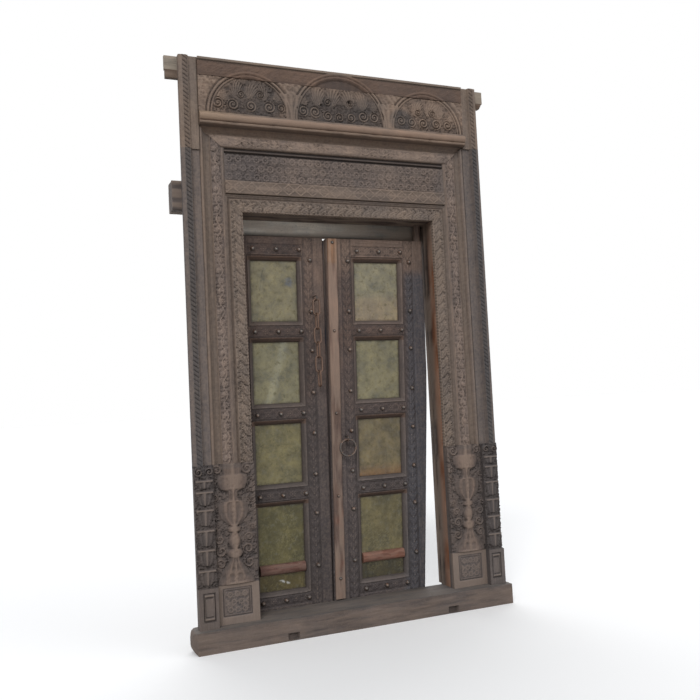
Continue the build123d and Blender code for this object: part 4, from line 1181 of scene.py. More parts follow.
def build_pilaster(side):
    """Pilaster of one side: set-back flat, strip of slanting leaves, margin and tiered foot, and the
    stile above it."""
    hand = -1 if side == "left" else 1
    step = size_of("grid")
    seam = SEAMS[side]
    for word, low, high, flat, tint in (("pilaster", BASE_TOP - 6, seam, 24.0, pilaster_tint),
                                        ("upper_stile", seam, HEIGHT, 16.0, upper_stile_tint)):
        shells = Shells()
        x, z = np.meshgrid(span(PILASTER_IN, HALF_WIDTH, step), span(low, high, step))
        inside = ease(750, 751.5, x) * ease(775, 773.5, x)
        leaves = worn(slanted_row(z * hand, x - 762, 12.5, 21.0), layered_noise(x / 90, z / 90, 28))
        motif = 1 - inside * (1 - leaves)
        base = np.interp(x, (703, 706, 742, 748, 750, 774, 776, 787, 791),
                         (flat + 3, flat, flat, 2, 0.5, 0.5, 4, 4, 9))
        flutes = 0.9 * np.clip(layered_noise(x / 6, z / 260, 29), 0, 1)
        carved_board(shells, hand * x, z, base + flutes, motif, 6.0, 35, wear=0.8, seed=30 + hand)
        if word == "pilaster":
            x, z = np.meshgrid(span(PILASTER_IN, HALF_WIDTH, step), span(SILL_TOP, BASE_TOP, step))
            y, relief = tiered_foot(x, z)
            shells.board(hand * x, z, y, 35, relief)
        shells.build(side + "_" + word + "_carving", "frame", "upright", tint,
                     [side + "_" + word])


def tiered_foot(x, z):
    """Foot of a pilaster: leafy cups stacked over a plinth with a sunk panel in two frames."""
    dx = x - TIER_MIDDLE
    height = 0.35 * foliage(x, z, 57)
    for low, high, wide in ((286, 356, 40), (372, 446, 41), (458, 532, 41), (548, 622, 40), (638, 702, 41),
                            (712, 752, 40)):
        t = np.clip((z - low) / (high - low), 0, 1)
        half = wide * (0.35 + 0.65 * np.sqrt(t))
        inside = ease(low - 1, low + 2, z) * ease(high + 1, high - 2, z)
        around = np.arcsin(np.clip(dx / half, -1, 1))
        cup = ridge(dx, half) * (0.74 + 0.26 * np.cos(7 * around)) * inside
        lip = ridge(z - high + 6, 7) * ease(wide + 1, wide - 2, np.abs(dx))
        height = np.maximum.reduce([height, cup * 0.85, 0.9 * lip])
        for turn in (-1, 1):
            height = np.maximum(height, 0.8 * scroll(dx - turn * 30, z - high + 12, 12, 1.2, turn))
            au, av = turned(dx - turn * 14, z - low - 2, 90 - turn * 28)
            height = np.maximum(height, 0.8 * blade(au, av, 46, 8, turn * 0.25, 4))
    cap = np.maximum(scroll(dx + 24, z - 787, 20, 1.6, 1), scroll(dx - 24, z - 787, 20, 1.6, -1))
    height = np.maximum(height, np.where(z > 764, cap, 0))
    y = 10 - 19 * worn(height, 0 * x)
    reach = np.maximum(np.abs(dx + 3) / 25.0, np.abs(z - 193) / 63.0)
    frames = 4.0 * np.cos((reach - 0.62) / 0.38 * np.pi * 2)
    sunk = np.where(reach < 0.62, -2.0, np.where(reach < 1.0, frames, -4.0))
    plinth = z < PLINTH_TOP
    y = np.where(plinth, -7.5 + sunk, y)
    relief = np.where(plinth, np.where(reach < 1.0, np.clip(0.6 - sunk / 12, 0, 1), 0.75), height)
    return np.clip(y + layered_noise(x / 12, z / 12, 44) * 0.8, -17.5, 30), np.clip(relief, 0, 1)


def build_heads():
    """Boards over the opening: inner head, carved rail, lattice panel and outer head."""
    step = size_of("grid")
    shells = Shells()
    s, t = np.meshgrid(span(-1, 1, step / 520), span(0, 78, step))
    x = s * (OPENING + t)
    motif, depth = carve_inner(x + 23.5, t)
    scallop = 2.4 * (0.5 + 0.5 * np.cos(2 * np.pi * x / SCALLOP_PITCH)) * ease(7, 0, t)
    carved_board(shells, x, OPENING_TOP + t + scallop, band_depth(INNER_BAND, t), motif, depth,
                 PLANK_BACK, seed=51)
    shells.build("inner_head_carving", "frame", "level", heads_tint, ["inner_head"])

    shells = Shells()
    x, z = np.meshgrid(span(-FILLET[0], FILLET[0], step), span(INNER_HEAD_TOP, RAIL[1], 2.25))
    base = np.interp(z, (2061, 2066, 2067, 2070, 2070.5, 2074, 2129, 2133), (42, 40, 50, 50, 36, 33, 33, 37))
    inside = ease(2073, 2075, z) * ease(2130, 2128, z)
    rubbed = 0.22 + 0.35 * ease(-0.3, 0.5, layered_noise(x / 130, z / 60, 55))
    cut = worn(lozenges(x, z - 2101, 27.0, 61.0), 0 * x)
    carved_board(shells, x, z, base, 1 - inside * rubbed * (1 - cut), 4.5, PLANK_BACK, seed=52)
    shells.build("carved_rail", "frame", "level", heads_tint, ["lattice_rail"])

    shells = Shells()
    x, z = np.meshgrid(span(-FILLET[0], FILLET[0], step), span(RAIL[1], OUTER_HEAD, 2.9))
    groove = ((z > LATTICE_TOP) & (z < LATTICE_TOP + 8)) | (z > OUTER_HEAD - 9)
    inside = (z < LATTICE_TOP - 1) & (np.abs(x) < FILLET[0] - 8)
    cut = np.maximum(lattice(x, z - 2132.0, 45.0, 43.5), 0.6 * foliage(x, z, 59))
    motif = np.where(inside, worn(cut, layered_noise(x / 140, z / 90, 58)), np.where(groove, 0.0, 0.8))
    depth = np.where(inside, 6.5, np.where(groove, 11.0, 0.0))
    carved_board(shells, x, z, 40.5, motif, depth, PLANK_BACK, seed=53)
    shells.build("lattice_carving", "frame", "level", heads_tint, ["lattice_panel"])

    shells = Shells()
    reach = LEDGE[0] - OUTER_HEAD
    s, t = np.meshgrid(span(-1, 1, step / 650), span(0, reach, step))
    x = s * (FILLET[1] + t / OUTER_MITRE)
    motif, depth = carve_head(x + 24, t)
    carved_board(shells, x, OUTER_HEAD + t, band_depth(OUTER_BAND, t), motif, depth, PLANK_BACK, seed=54)
    shells.build("outer_head_carving", "frame", "level", heads_tint, ["outer_head"])


# Section of the ledge, as (depth, height)
LEDGE_SECTION = ((58, 2380), (30, 2380), (4, 2381), (-7, 2386), (-9, 2391), (-7, 2396), (-4, 2398),
                 (-9, 2400), (-13, 2404), (-16, 2411), (-17, 2418), (-15.5, 2425), (-11, 2431),
                 (-4, 2432), (-2, 2434), (-1, 2442), (30, 2442), (58, 2442))


def build_ledge():
    """Round-nosed ledge: its section carried along X and worn in long streaks."""
    section = np.array(LEDGE_SECTION, float)
    x = span(-PILASTER_IN, PILASTER_IN, 5)[:, None]
    depth = section[None, :, 0]
    height = section[None, :, 1]
    rough = np.clip(layered_noise(x / 60, height / 9, 61), 0, 1) * 1.6
    rough = rough + 2.0 * np.clip(layered_noise(x / 45, height / 30, 63) - 0.35, 0, 1)
    wave = layered_noise(x / 300, height * 0, 62) * 0.8
    rings = np.stack([x + 0 * depth, depth + rough, np.clip(height + wave, *LEDGE)], 2)
    shells = Shells()
    # Relief falls with depth: the finish pales the front of the nose as wear and painted highlight, and
    # darkens the faces set back under it as grime and painted shade.
    shells.sweep(rings, np.clip(0.95 - (depth + 10) / 40 - 0.2 * rough, 0.2, 0.95))
    shells.build("ledge_moulding", "frame", "level", ledge_tint, ["ledge"], flat_angle=38)


def hood(x, z, width, shift=0.0):
    """Ridges along the three round arches, a distance inside their outer line."""
    lines = [ridge(np.hypot(x - centre, z - LEDGE[1]) - radius + shift, width) for centre, radius in ARCHES]
    return np.maximum.reduce(lines)


def outside_arches(x, z):
    """Distance outside the nearest arch, negative under it."""
    return np.min([np.hypot(x - centre, z - LEDGE[1]) - radius for centre, radius in ARCHES], axis=0)


# Scrolls under the arches, as (across, height, radius, hand)
FRIEZE_SCROLLS = ((-612, 2490, 30, 1), (-540, 2488, 31, -1), (-453, 2488, 31, 1), (-363, 2490, 32, -1),
                  (-303, 2492, 24, 1), (-190, 2490, 30, 1), (-128, 2490, 32, -1), (-62, 2476, 28, 1),
                  (0, 2472, 26, -1), (62, 2478, 28, 1), (128, 2490, 32, -1), (190, 2490, 30, 1),
                  (340, 2488, 28, -1), (402, 2486, 29, 1), (470, 2484, 31, -1), (545, 2486, 31, 1),
                  (612, 2486, 28, -1), (-500, 2540, 22, 1), (-405, 2545, 22, -1), (-60, 2545, 22, 1),
                  (60, 2548, 20, -1), (440, 2540, 20, -1), (525, 2540, 22, 1))
# Fans over the scrolls, as (across, height, length, angle, bend)
FRIEZE_FANS = ((-500, 2512, 104, 140, 0.8), (-455, 2516, 100, 100, 0.5), (-400, 2514, 96, 58, -0.7),
               (-560, 2508, 74, 160, 0.5), (-340, 2516, 70, 40, -0.5), (-100, 2512, 116, 125, 0.7),
               (-35, 2512, 120, 100, 0.4), (50, 2512, 120, 80, -0.4), (108, 2512, 116, 52, -0.7),
               (-165, 2520, 66, 148, 0.4), (170, 2520, 66, 32, -0.4), (440, 2512, 100, 125, 0.8),
               (500, 2512, 104, 88, 0.4), (552, 2512, 96, 52, -0.8), (612, 2510, 64, 45, 0.6),
               (380, 2512, 64, 140, 0.5), (-610, 2512, 50, 120, 0.4))


def frieze_height(x, z):
    """Thin double hoods, flared posts between the arches, rolled scrolls and combed fans in leafy ground."""
    side = ease(-0.6, 0.5, np.min([np.abs(x - c - r * 0.5) / r for c, r in ARCHES], axis=0) - 0.9)
    faint = 0.7 + 0.2 * (1 - side)
    height = faint * np.maximum(hood(x, z, 7, 8), 0.9 * hood(x, z, 5, 24))
    outside = outside_arches(x, z)
    strokes = 0.10 * np.cos((x + z * 0.8) / 5.0)
    leafy = 0.42 + strokes + 0.42 * np.clip(foliage(x * 0.6, z * 0.6, 75), 0, 1)
    height = np.maximum(height, ease(0, 10, outside) * leafy)
    motifs = 0.55 * foliage(x, z, 61)
    for cx, cz, length, angle, turn in FRIEZE_FANS:
        au, av = turned(x - cx, z - cz, angle)
        motifs = np.maximum(motifs, 0.8 * fan(au, av, length, 1.3, 7, turn))
    for cx, cz, radius, turn in FRIEZE_SCROLLS:
        coil = scroll(x - cx, z - cz, radius, 2.2, turn, cx)
        clear = ease(radius * 1.02, radius * 0.9, np.hypot(x - cx, z - cz))
        motifs = motifs * (1 - clear) + coil * clear
    motifs = motifs * ease(-28, -34, outside)
    for cx in (-250, 270):
        post = ease(31, 25, np.abs(x - cx) - 30 * ease(2500, 2560, z)) * (z < 2566)
        fluted = 0.7 + 0.15 * np.cos((x - cx) / 4.5)
        motifs = np.where(post > 0.5, fluted, motifs)
    hole = np.minimum(np.hypot(x - 55, z - 2557), np.hypot(x + 96, z - 2530) + 3) < 7
    return np.where(hole, -0.9, np.maximum(height, motifs))


def build_frieze():
    """Frieze panel with scrolls and fans under three arches, and the rail over it."""
    step = size_of("grid")
    shells = Shells()
    x, z = np.meshgrid(span(-PILASTER_IN, PILASTER_IN, step), span(LEDGE[1], FRIEZE_TOP, step))
    height = frieze_height(x, z)
    carved = worn(height, layered_noise(x / 120, z / 60, 72))
    # The two holes are set to low relief, so the finish darkens them as grime and painted shade.
    carved = np.where(height < -0.5, -0.8, carved)
    y = 14.5 - 9.5 * carved + layered_noise(x / 15, z / 15, 71) * 0.8
    joint = ease(FRIEZE_TOP - 3, FRIEZE_TOP - 0.5, z) * ease(-300, -330, -np.abs(x))
    shells.board(x, z, np.clip(y + 6 * joint, 1.5, 34), 35, np.clip(carved - 0.05, 0, 1))
    back_x, back_z = np.meshgrid(span(-PILASTER_IN, PILASTER_IN, 200), span(LEDGE[1], 2590, 50))
    shells.board(back_x, back_z, np.full(back_x.shape, 35.0), PLANK_BACK, np.full(back_x.shape, 0.6))
    shells.build("frieze_carving", "frame", "level", frieze_tint, ["frieze_panel"])

    shells = Shells()
    x, z = np.meshgrid(span(-PILASTER_IN, PILASTER_IN, step), span(FRIEZE_TOP, HEIGHT, step))
    outer = np.maximum(hood(x, z, 7, 8), 0.8 * hood(x, z, 5, 24))
    strip = z > HEIGHT - 13
    leaves = np.maximum(rolled_leaves(x, z - 2652, 24.0, 58.0), 0.4 * foliage(x, z, 65))
    leaves = leaves * ease(HEIGHT - 16, HEIGHT - 20, z) * ease(FRIEZE_TOP + 5, FRIEZE_TOP + 10, z)
    rubbed = np.clip(0.45 + 0.35 * layered_noise(x / 120, z / 60, 73), 0.15, 0.8)
    under = outside_arches(x, z)
    height = np.maximum(0.8 * outer, leaves * rubbed * ease(-6, 4, under))
    strokes = 0.5 + 0.22 * np.cos(x / 6.5 + 0.5 * np.sin(z / 9))
    inner = ease(-4, -8, under) * (0.42 * strokes)
    sunk = ease(-32, -38, under)
    face = 8.5 - 6.5 * np.maximum(worn(height, 0 * x), inner) + 7.0 * sunk
    y = np.where(strip, 1.0, face) + layered_noise(x / 22, z / 12, 74) * 0.7
    # Less relief in the sunk ground under the arch crowns darkens it as painted shade.
    relief = np.where(strip, 0.8, np.clip(0.35 + 0.5 * np.maximum(height, inner) - 0.3 * sunk, 0, 1))
    shells.board(x, z, np.clip(y, 0.2, 33), 35, relief)
    shells.build("frieze_top_rail", "frame", "level", frieze_rail_tint, ["frieze_rail"])


def build_timbers():
    """Plain structural timbers and boards behind the carving."""
    for side, hand in (("left", -1), ("right", 1)):
        shells = Shells()
        steps = ((OPENING, PLANK_BACK, REBATE_DEPTH), (REBATES[side], REBATE_DEPTH, POST_BACK))
        for low, front, back in steps:
            edges = sorted((hand * low, hand * POST_OUTER))
            bar(shells, edges, (front, back), (SILL_TOP, OPENING_TOP), 2, 26, 2.5, 1.4, 90 + hand)
        shells.build(side + "_jamb_post_timber", "frame", "plain_upright", post_tint,
                     [side + "_jamb_post"])
    shells = Shells()
    bar(shells, (-700, POST_OUTER), (PLANK_BACK, POST_BACK), (OPENING_TOP, LINTEL_TOP), 0, 24, 3, 1.5, 95)
    bar(shells, (-830, -698), (PLANK_BACK, REBATE_DEPTH), (OPENING_TOP, LINTEL_TOP), 0, 6, 9, 4.0, 96)
    shells.build("lintel_timber", "frame", "plain_level", lintel_tint, ["lintel_beam"])
    for word, x, y, z, tint, seed, finish in (
            ("back_board", (-750, 750), (PLANK_BACK, 88), (LINTEL_TOP, 2590), flat_tint("horn"), 97,
             "plain_level"),
            ("top_batten", (-850, 850), (35, 57), (2634, HEIGHT), flat_tint("batten", 5, 0.35), 98,
             "plain_level"),
            ("head_board", (-529, 529), (200, 221), (1906, 2010), head_board_tint, 99, "clean_level")):
        shells = Shells()
        bar(shells, x, y, z, 0, 24, 2.0, 1.0, seed)
        shells.build(word + "_timber", "frame", finish, tint, [word])
    shells = Shells()
    x = span(-846, 845, 14)
    low = np.interp(x, (-846, 832, 845), (2597, 2606, 2633))
    corners = [np.stack([x, np.full_like(x, y), z], 1) for y, z in ((35, low), (61, np.full_like(x, 2634)))]
    rings, grade = rounded_box_rings(corners[0], corners[1], 0, 12, 0.5, 0.4, 100)
    shells.sweep(rings, grade)
    shells.build("batten_strip_timber", "frame", "plain_level", flat_tint("batten_strip"),
                 ["batten_strip"])


def build_sill():
    """Threshold beam: a section carried along X, worn by streaks, its back edge curving away at the ends
    and two small mortises cut low in its front."""
    mortises = (-372, 457)
    x = np.concatenate([[-826, -825, -822, -818, -813], span(-806, 806, 8)])
    back = np.interp(x, (-826, -820, -806, -760, -720, -700.5, -699.5, 699.5, 700.5, 720, 770, 806),
                     (40, 52, 62, 76, 80, 84, 199, 199, 84, 80, 70, 30))
    front = np.interp(x, (-826, -822, -813, -806, 806), (16, -4, -26, -44, -45))
    drop = np.where(np.abs(x) < 530, 20.0, 0.0)
    tall = np.interp(x, (-826, -820, -806), (66, 90, SILL_TOP))
    foot = np.interp(x, (-826, -820, -806), (36, 14, 0))
    section = []
    for t in np.linspace(0, 1, 15):
        section.append((front, foot + (tall - foot) * t))
    rebate = np.minimum(REBATE_DEPTH, back - 12)
    for t in np.linspace(0.05, 1, 14):
        section.append((front + (rebate - front) * t, tall))
    for t in np.linspace(0, 1, 4):
        section.append((rebate + 1 + (back - rebate - 1) * t, tall - drop))
    for t in np.linspace(0.1, 1, 5):
        section.append((back, (tall - drop) * (1 - t) + foot * t))
    for t in np.linspace(0.1, 0.94, 8):
        section.append((back + (front - back) * t, foot))
    lines = [np.stack([x, np.broadcast_to(y, x.shape), np.broadcast_to(z, x.shape)], 1) for y, z in section]
    rings = np.stack(lines, 1)
    inward = rings.mean(axis=1, keepdims=True) - rings
    inward[:, :, 0] = 0
    around = np.arange(rings.shape[1])[None, :] * 11.0
    rough = np.clip(layered_noise(rings[:, :, 0] / 130, around / 15, 110) + 0.2, 0, 1.2) * 1.8
    edge = np.exp(-((np.hypot(rings[:, :, 1] + 46, rings[:, :, 2] - SILL_TOP)) / 9) ** 2)
    rough = rough + edge * (1.5 + 4 * np.clip(layered_noise(rings[:, :, 0] / 70, around * 0, 113), 0, 1))
    rings = rings + inward / np.maximum(np.linalg.norm(inward, axis=2, keepdims=True), 1) * rough[:, :, None]
    near_hole = np.min([np.abs(rings[:, :, 0] - m) for m in mortises], axis=0)
    low_front = (rings[:, :, 1] < -30) & (rings[:, :, 2] > 5) & (rings[:, :, 2] < 30)
    hole = (near_hole < 22) & low_front
    rings[:, :, 1] = np.where(hole, -28, rings[:, :, 1])
    rings[:, :, 2] = np.clip(rings[:, :, 2], 0, SILL_TOP)
    shells = Shells()
    # The mortise holes get no relief, so the finish darkens them as grime and painted shade.
    shells.sweep(rings, np.where(hole, 0.0, 0.8 - rough * 0.08))
    shells.build("sill_timber", "frame", "plain_level", sill_tint, ["sill"], flat_angle=40)


def leaf_face(x, z, side):
    """Depth and relief of a leaf's face: a mitred bevel with a bead beside each panel, a quirk, and the
    field."""
    gap, _ = panel_gap(x, z, side)
    slope = np.clip(gap / PANEL_BEVEL, 0, 1) ** 0.7
    bead = ridge(gap - 16, 4.5)
    quirk = ridge(gap - 22, 3)
    low_line, high_line = PANEL[side]
    left = lean(low_line, z)
    right = lean(high_line, z)
    on_rail = (x > left - 22) & (x < right + 22)
    field = np.full(x.shape, 0.85)
    depth = np.zeros(x.shape)
    wander = layered_noise(x / 70, z / 110, 115)
    for low, high in RAILS.values():
        middle = 1836 if high == LEAF_TOP else 136 if low == LEAF_LOW else (low + high) / 2
        band = on_rail & (np.abs(z - middle) < RAIL_BAND_HALF)
        field = np.where(band, worn(rail_leaves(x - (left + right) / 2, z - middle), wander), field)
        depth = np.where(band, 5.0, depth)
    strips = ((high_line, 25, 82), (low_line, -82, -25)) if side == "right" else ((high_line, 25, 80),)
    for line, near, far in strips:
        s = x - lean(line, z) - (near + far) / 2
        half = (far - near) / 2
        band = (np.abs(s) < half) & ~on_rail
        field = np.where(band, worn(stile_leaves(z, s, half), wander + 0.1), field)
        depth = np.where(band, 4.2, depth)
    y = LEAF_FRONT + 1.5 + depth * (1 - field)
    y = np.where(gap < PANEL_BEVEL, RAIL_BACK - 4 - (RAIL_THICK - 8) * slope - 1.6 * bead, y)
    in_quirk = (gap >= PANEL_BEVEL) & (gap < QUIRK_END)
    y = np.where(in_quirk, LEAF_FRONT + 6.0 * quirk + 1, y)
    relief = np.where(gap < PANEL_BEVEL, 0.22 + 0.4 * slope + 0.15 * bead, np.clip(field - 0.12, 0, 1))
    relief = np.where(in_quirk, 0.2, relief)
    relief = relief + 0.1 * layered_noise(x / 7, z / 7, 121)
    uneven = layered_noise(x / 16, z / 16, 120) * 0.7
    return np.clip(y + uneven, LEAF_FRONT + 0.2, RAIL_BACK - 1), np.clip(relief, 0, 1)


def build_leaves():
    """Both leaves: carved stiles and rails, hinge pins, boarding and low bars."""
    for side in ("left", "right"):
        build_stiles(side)
        build_rails(side)
        build_boarding(side)
        build_low_bar(side)


def build_stiles(side):
    """Hanging and meeting stile of a leaf, each a carved front board and a plain rear half."""
    step = size_of("grid")
    low_line, high_line = PANEL[side]
    if side == "left":
        stiles = (("hanging_stile", AXIS[side], low_line, -1), ("meeting_stile", high_line, FREE[side], 1))
    else:
        stiles = (("hanging_stile", high_line, BOWED_EDGE, 1), ("meeting_stile", FREE[side], low_line, -1))
    for word, left, right, outer in stiles:
        shells = Shells()
        x, z = slant_grid(left, right, LEAF_LOW + 0.5, LEAF_TOP - 0.5, step)
        y, relief = leaf_face(x, z, side)
        edge = lean(right, z) - x if outer > 0 else x - lean(left, z)
        rounding = 1 - np.sqrt(np.clip(1 - (1 - np.clip(edge / 9, 0, 1)) ** 2, 0, 1))
        y = y + (7 if word == "hanging_stile" else 4) * rounding
        shells.board(x, z, y, RAIL_BACK, relief)
        near = left if outer < 0 else shifted(left, BOARD_LAP)
        far = right if outer > 0 else shifted(right, -BOARD_LAP)
        slat(shells, near, far, RAIL_BACK, LEAF_BACK, LEAF_LOW + 0.5, LEAF_TOP - 0.5, 30, 1.0, 0.6, 140)
        if word == "hanging_stile":
            pins(shells, side)
        if (side, word) == ("left", "meeting_stile"):
            tongue = (FREE[side][0] + TONGUE[0], FREE[side][1] + TONGUE[1])
            slat(shells, shifted(FREE[side], -1), tongue, TONGUE_FRONT, LEAF_BACK, LEAF_LOW + 0.5,
                 LEAF_TOP - 7, 20, 1.0, 0.6, 142)
        shells.build(side + "_" + word + "_carving", side + "_leaf", "leaf_upright",
                     leaf_tint(side), [side + "_leaf_" + word])


def build_rails(side):
    """Five carved rails of a leaf."""
    for word, (low, high) in RAILS.items():
        shells = Shells()
        top = high - 0.5 if high == LEAF_TOP else high
        bottom = low + 0.5 if low == LEAF_LOW else low
        x, z = slant_grid(*PANEL[side], bottom, top, size_of("grid"))
        y, relief = leaf_face(x, z, side)
        shells.board(x, z, y, RAIL_BACK, relief)
        shells.build(side + "_" + word + "_carving", side + "_leaf", "leaf_level",
                     leaf_tint(side), [side + "_leaf_" + word])


def build_boarding(side):
    """Three boards at the back of a leaf, with open joints between them."""
    low_line, high_line = (np.array(line, float) for line in PANEL[side])
    shells = Shells()
    for number in range(3):
        start, stop = (low_line - BOARD_LAP + (high_line - low_line + 2 * BOARD_LAP) * s
                       for s in (number / 3, (number + 1) / 3 - 0.006))
        slat(shells, tuple(start), tuple(stop), RAIL_BACK, LEAF_BACK, LEAF_LOW + 0.5, LEAF_TOP - 0.5, 30,
             0.8, 0.5, 150 + number)
    shells.build(side + "_boarding_timber", side + "_leaf", "plain_upright",
                 flat_tint("leaf", 17), [side + "_leaf_boarding"])


def pins(shells, side):
    """Round pins at the foot and head of the hanging stile along the hinge line, and its round heel, which
    runs the full height on the left leaf alone."""
    axis = AXIS[side]
    angle = np.linspace(0, 2 * np.pi, 29)[:-1]
    heel_top = LEAF_TOP - 0.5 if side == "left" else SHORT_HEEL_TOP
    for low, high, radius in ((LEAF_LOW + 0.5, heel_top, HEEL_RADIUS),
                              (LEAF_TOP - 4, OPENING_TOP + 36, PIN_RADIUS), (42, LEAF_LOW + 4, PIN_RADIUS)):
        z = span(low, high, 20)[:, None]
        worn_in = 1 - 0.02 * np.clip(layered_noise(z / 40, angle[None, :] * 2, 141), 0, 1)
        rings = np.stack([lean(axis, z) + radius * np.cos(angle)[None, :] * worn_in,
                          PIN_LINE_DEPTH + radius * np.sin(angle)[None, :] * worn_in,
                          z + 0 * angle[None, :]], 2)
        shells.sweep(rings, 0.6)


def build_low_bar(side):
    """Rounded bar planted across the lowest brass, rubbed red-brown: half an ellipse carried along X."""
    low, high = BAR_HEIGHTS
    middle = (low + high) / 2
    x = span(lean(PANEL[side][0], middle) + 1.5, lean(PANEL[side][1], middle) - 1.5, 6)[:, None]
    t = np.linspace(0, np.pi, 19)
    back = RAIL_BACK - 1.5
    y = np.concatenate([back - 24 * np.sin(t) ** 0.7, [back, back]])[None, :]
    z = np.concatenate([middle - (high - low) / 2 * np.cos(t), [high - 12, low + 12]])[None, :]
    worn_in = np.clip(layered_noise(x / 40, z / 8, 160), 0, 1) * 0.9
    rings = np.stack([x + 0 * y, y + worn_in, z + 0 * x], 2)
    shells = Shells()
    shells.sweep(rings, 0.8 - 0.4 * worn_in)
    shells.build(side + "_low_bar", side + "_leaf", "leaf_level",
                 flat_tint("low_bar_" + side, 18, 0.15), [side + "_leaf_bar"])


def build_brass():
    """Embossed sheets: fine wandering raised work on a slightly wavy plate; one sheet is nearly smooth."""
    names = list(RAILS)
    for side in ("left", "right"):
        for number, (below, above) in enumerate(zip(names[:-1], names[1:]), start=1):
            low = RAILS[below][1] + SHEET_GAP
            high = RAILS[above][0] - SHEET_GAP
            left = shifted(PANEL[side][0], SHEET_GAP)
            x, z = slant_grid(left, shifted(PANEL[side][1], -SHEET_GAP), low, high, 3.8)
            smooth = side == "right" and number == 2
            worm = layered_noise(x / 9, z / 9, 170 + number, 2)
            emboss = np.exp(-((worm / 0.22) ** 2)) * (0.3 if smooth else 1.0)
            emboss = emboss * (0.55 + 0.45 * ease(-0.4, 0.4, layered_noise(x / 60, z / 60, 175 + number)))
            y = RAIL_BACK - 0.95 - 0.22 * emboss + 0.05 * layered_noise(x / 50, z / 50, 171)
            shells = Shells()
            shells.board(x, z, y, RAIL_BACK - 0.02, 0.36 + 0.5 * emboss)
            shells.build(side + "_brass_sheet_" + str(number), side + "_leaf", "brass",
                         brass_tint(side, number), [side + "_leaf_brass_panel_" + str(number)])


def build_cover_strip():
    """Cover strip on the right leaf's meeting edge: a worn rounded bar."""
    shells = Shells()
    left = shifted(FREE["right"], 0.2)
    right = shifted(FREE["right"], 51.8)
    slat(shells, left, right, LEAF_FRONT - STRIP_THICK, LEAF_FRONT, SILL_TOP + 6.5, LEAF_TOP - 3.5, 4, 5.0,
         2.4, 180)
    shells.build("cover_strip_timber", "right_leaf", "leaf_upright", strip_tint, ["astragal"])


def dome(shells, x, z, face, radius, height, seed):
    """Hammered nail head: a surface turned from a quarter ellipse, its rim eight-sided and uneven."""
    angle = np.linspace(0, 2 * np.pi, 19)[:-1]
    t = np.array([0.0, 0.14, 0.34, 0.56, 0.78, 0.95])[:, None] * np.pi / 2
    uneven = np.clip(value_noise(angle * 2, 0 * angle + seed, 7), 0, 1)
    facet = 1 - 0.05 * np.abs(np.sin(4 * angle + seed)) - 0.05 * uneven
    rings = np.stack([x + radius * np.cos(t) * np.cos(angle) * facet,
                      face + 0.6 - height * np.sin(t) ** 0.9 + 0 * angle,
                      z + radius * np.cos(t) * np.sin(angle) * facet], 2)
    # Relief climbs from rim to crown, so the iron finish paints shade round the rim and a highlight on the
    # crown.
    shells.sweep(rings, np.linspace(0.05, 1.0, len(t))[:, None])


def build_studs():
    """All nail heads of the leaves, and the smaller ones of the cover strip."""
    radius = size_of("stud_radius")
    height = size_of("stud_height")
    for side in ("left", "right"):
        places = []
        for z in STUD_ROWS:
            left = lean(PANEL[side][0], z) + STUD_INSET
            right = lean(PANEL[side][1], z) + STUD_INSET
            places += [(left, z), ((left + right) / 2, z), (right, z)]
        places += [(lean(line, z), z) for line in STUD_LINES[side] for z in STILE_STUDS]
        shells = Shells()
        for number, (x, z) in enumerate(places):
            dome(shells, x, z, LEAF_FRONT, radius, height, number)
        shells.build(side + "_stud_heads", side + "_leaf", "iron", flat_tint("iron", 40, 0.0, 0.3),
                     [side + "_leaf_studs"])
    shells = Shells()
    for number, z in enumerate(STRIP_NAILS):
        dome(shells, lean(FREE["right"], z) + STRIP_WIDTH / 2, z, LEAF_FRONT - STRIP_THICK, radius * 0.72,
             height * 0.62, number)
    shells.build("cover_strip_nails", "right_leaf", "iron", flat_tint("iron", 41, 0.0, 0.3),
                 ["astragal_nails"])


def rod(shells, path, radius, seed, closed=True):
    """Forged rod along a path: rings square to it, a little flattened and uneven in thickness."""
    n = len(path)
    ahead = np.roll(path, -1, 0) - np.roll(path, 1, 0)
    if not closed:
        ahead[0] = path[1] - path[0]
        ahead[-1] = path[-1] - path[-2]
    ahead = ahead / np.linalg.norm(ahead, axis=1, keepdims=True)
    plane = np.cross(path[n // 3] - path[0], path[2 * n // 3] - path[0])
    plane = plane / np.linalg.norm(plane)
    across = np.cross(ahead, plane)
    angle = np.linspace(0, 2 * np.pi, 13)[:-1]
    turn = np.cos(np.arange(n) / n * 2 * np.pi)[:, None] * 3
    thick = radius * (0.96 + 0.04 * value_noise(turn, angle[None, :] * 1.2, seed))
    offset = np.cos(angle)[None, :, None] * across[:, None, :] + np.sin(angle)[None, :, None] * plane
    rings = path[:, None, :] + thick[:, :, None] * offset
    # Relief peaks on the faces square to the rod's plane, where the iron finish paints a highlight.
    shells.sweep(rings, 0.32 + 0.5 * np.abs(np.sin(angle))[None, :] ** 3, closed)


def middle_of(node_name):
    """Middle of a solid's box in millimetres."""
    low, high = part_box(node_name)
    return (np.array(low) + np.array(high)) / 2 * 1000 + np.array([0, MID_DEPTH, 0])


def build_chain():
    """Hanging chain: oval forged links, by turns flat to the leaf and edge on."""
    thick = size_of("link_rod")
    angle = np.linspace(0, 2 * np.pi, 49)[:-1]
    across = (LINK_WIDTH - thick) / 2 * np.cos(angle)
    straight = (LINK_LENGTH - LINK_WIDTH) / 2 * np.clip(np.sin(angle) * 3.0, -1, 1)
    upward = (LINK_WIDTH - thick) / 2 * np.sin(angle) + straight
    zero = np.zeros_like(angle)
    for number in range(1, LINK_COUNT + 1):
        flat = number % 2 == 1
        local = np.stack([across, zero, upward] if flat else [zero, across, upward], 1)
        shells = Shells()
        rod(shells, middle_of("chain_link_" + str(number)) + local, thick / 2, 190 + number)
        shells.build("forged_link_" + str(number), "link_" + str(number), "iron",
                     flat_tint("rust", 42, 0.0, 0.2), ["chain_link_" + str(number)])


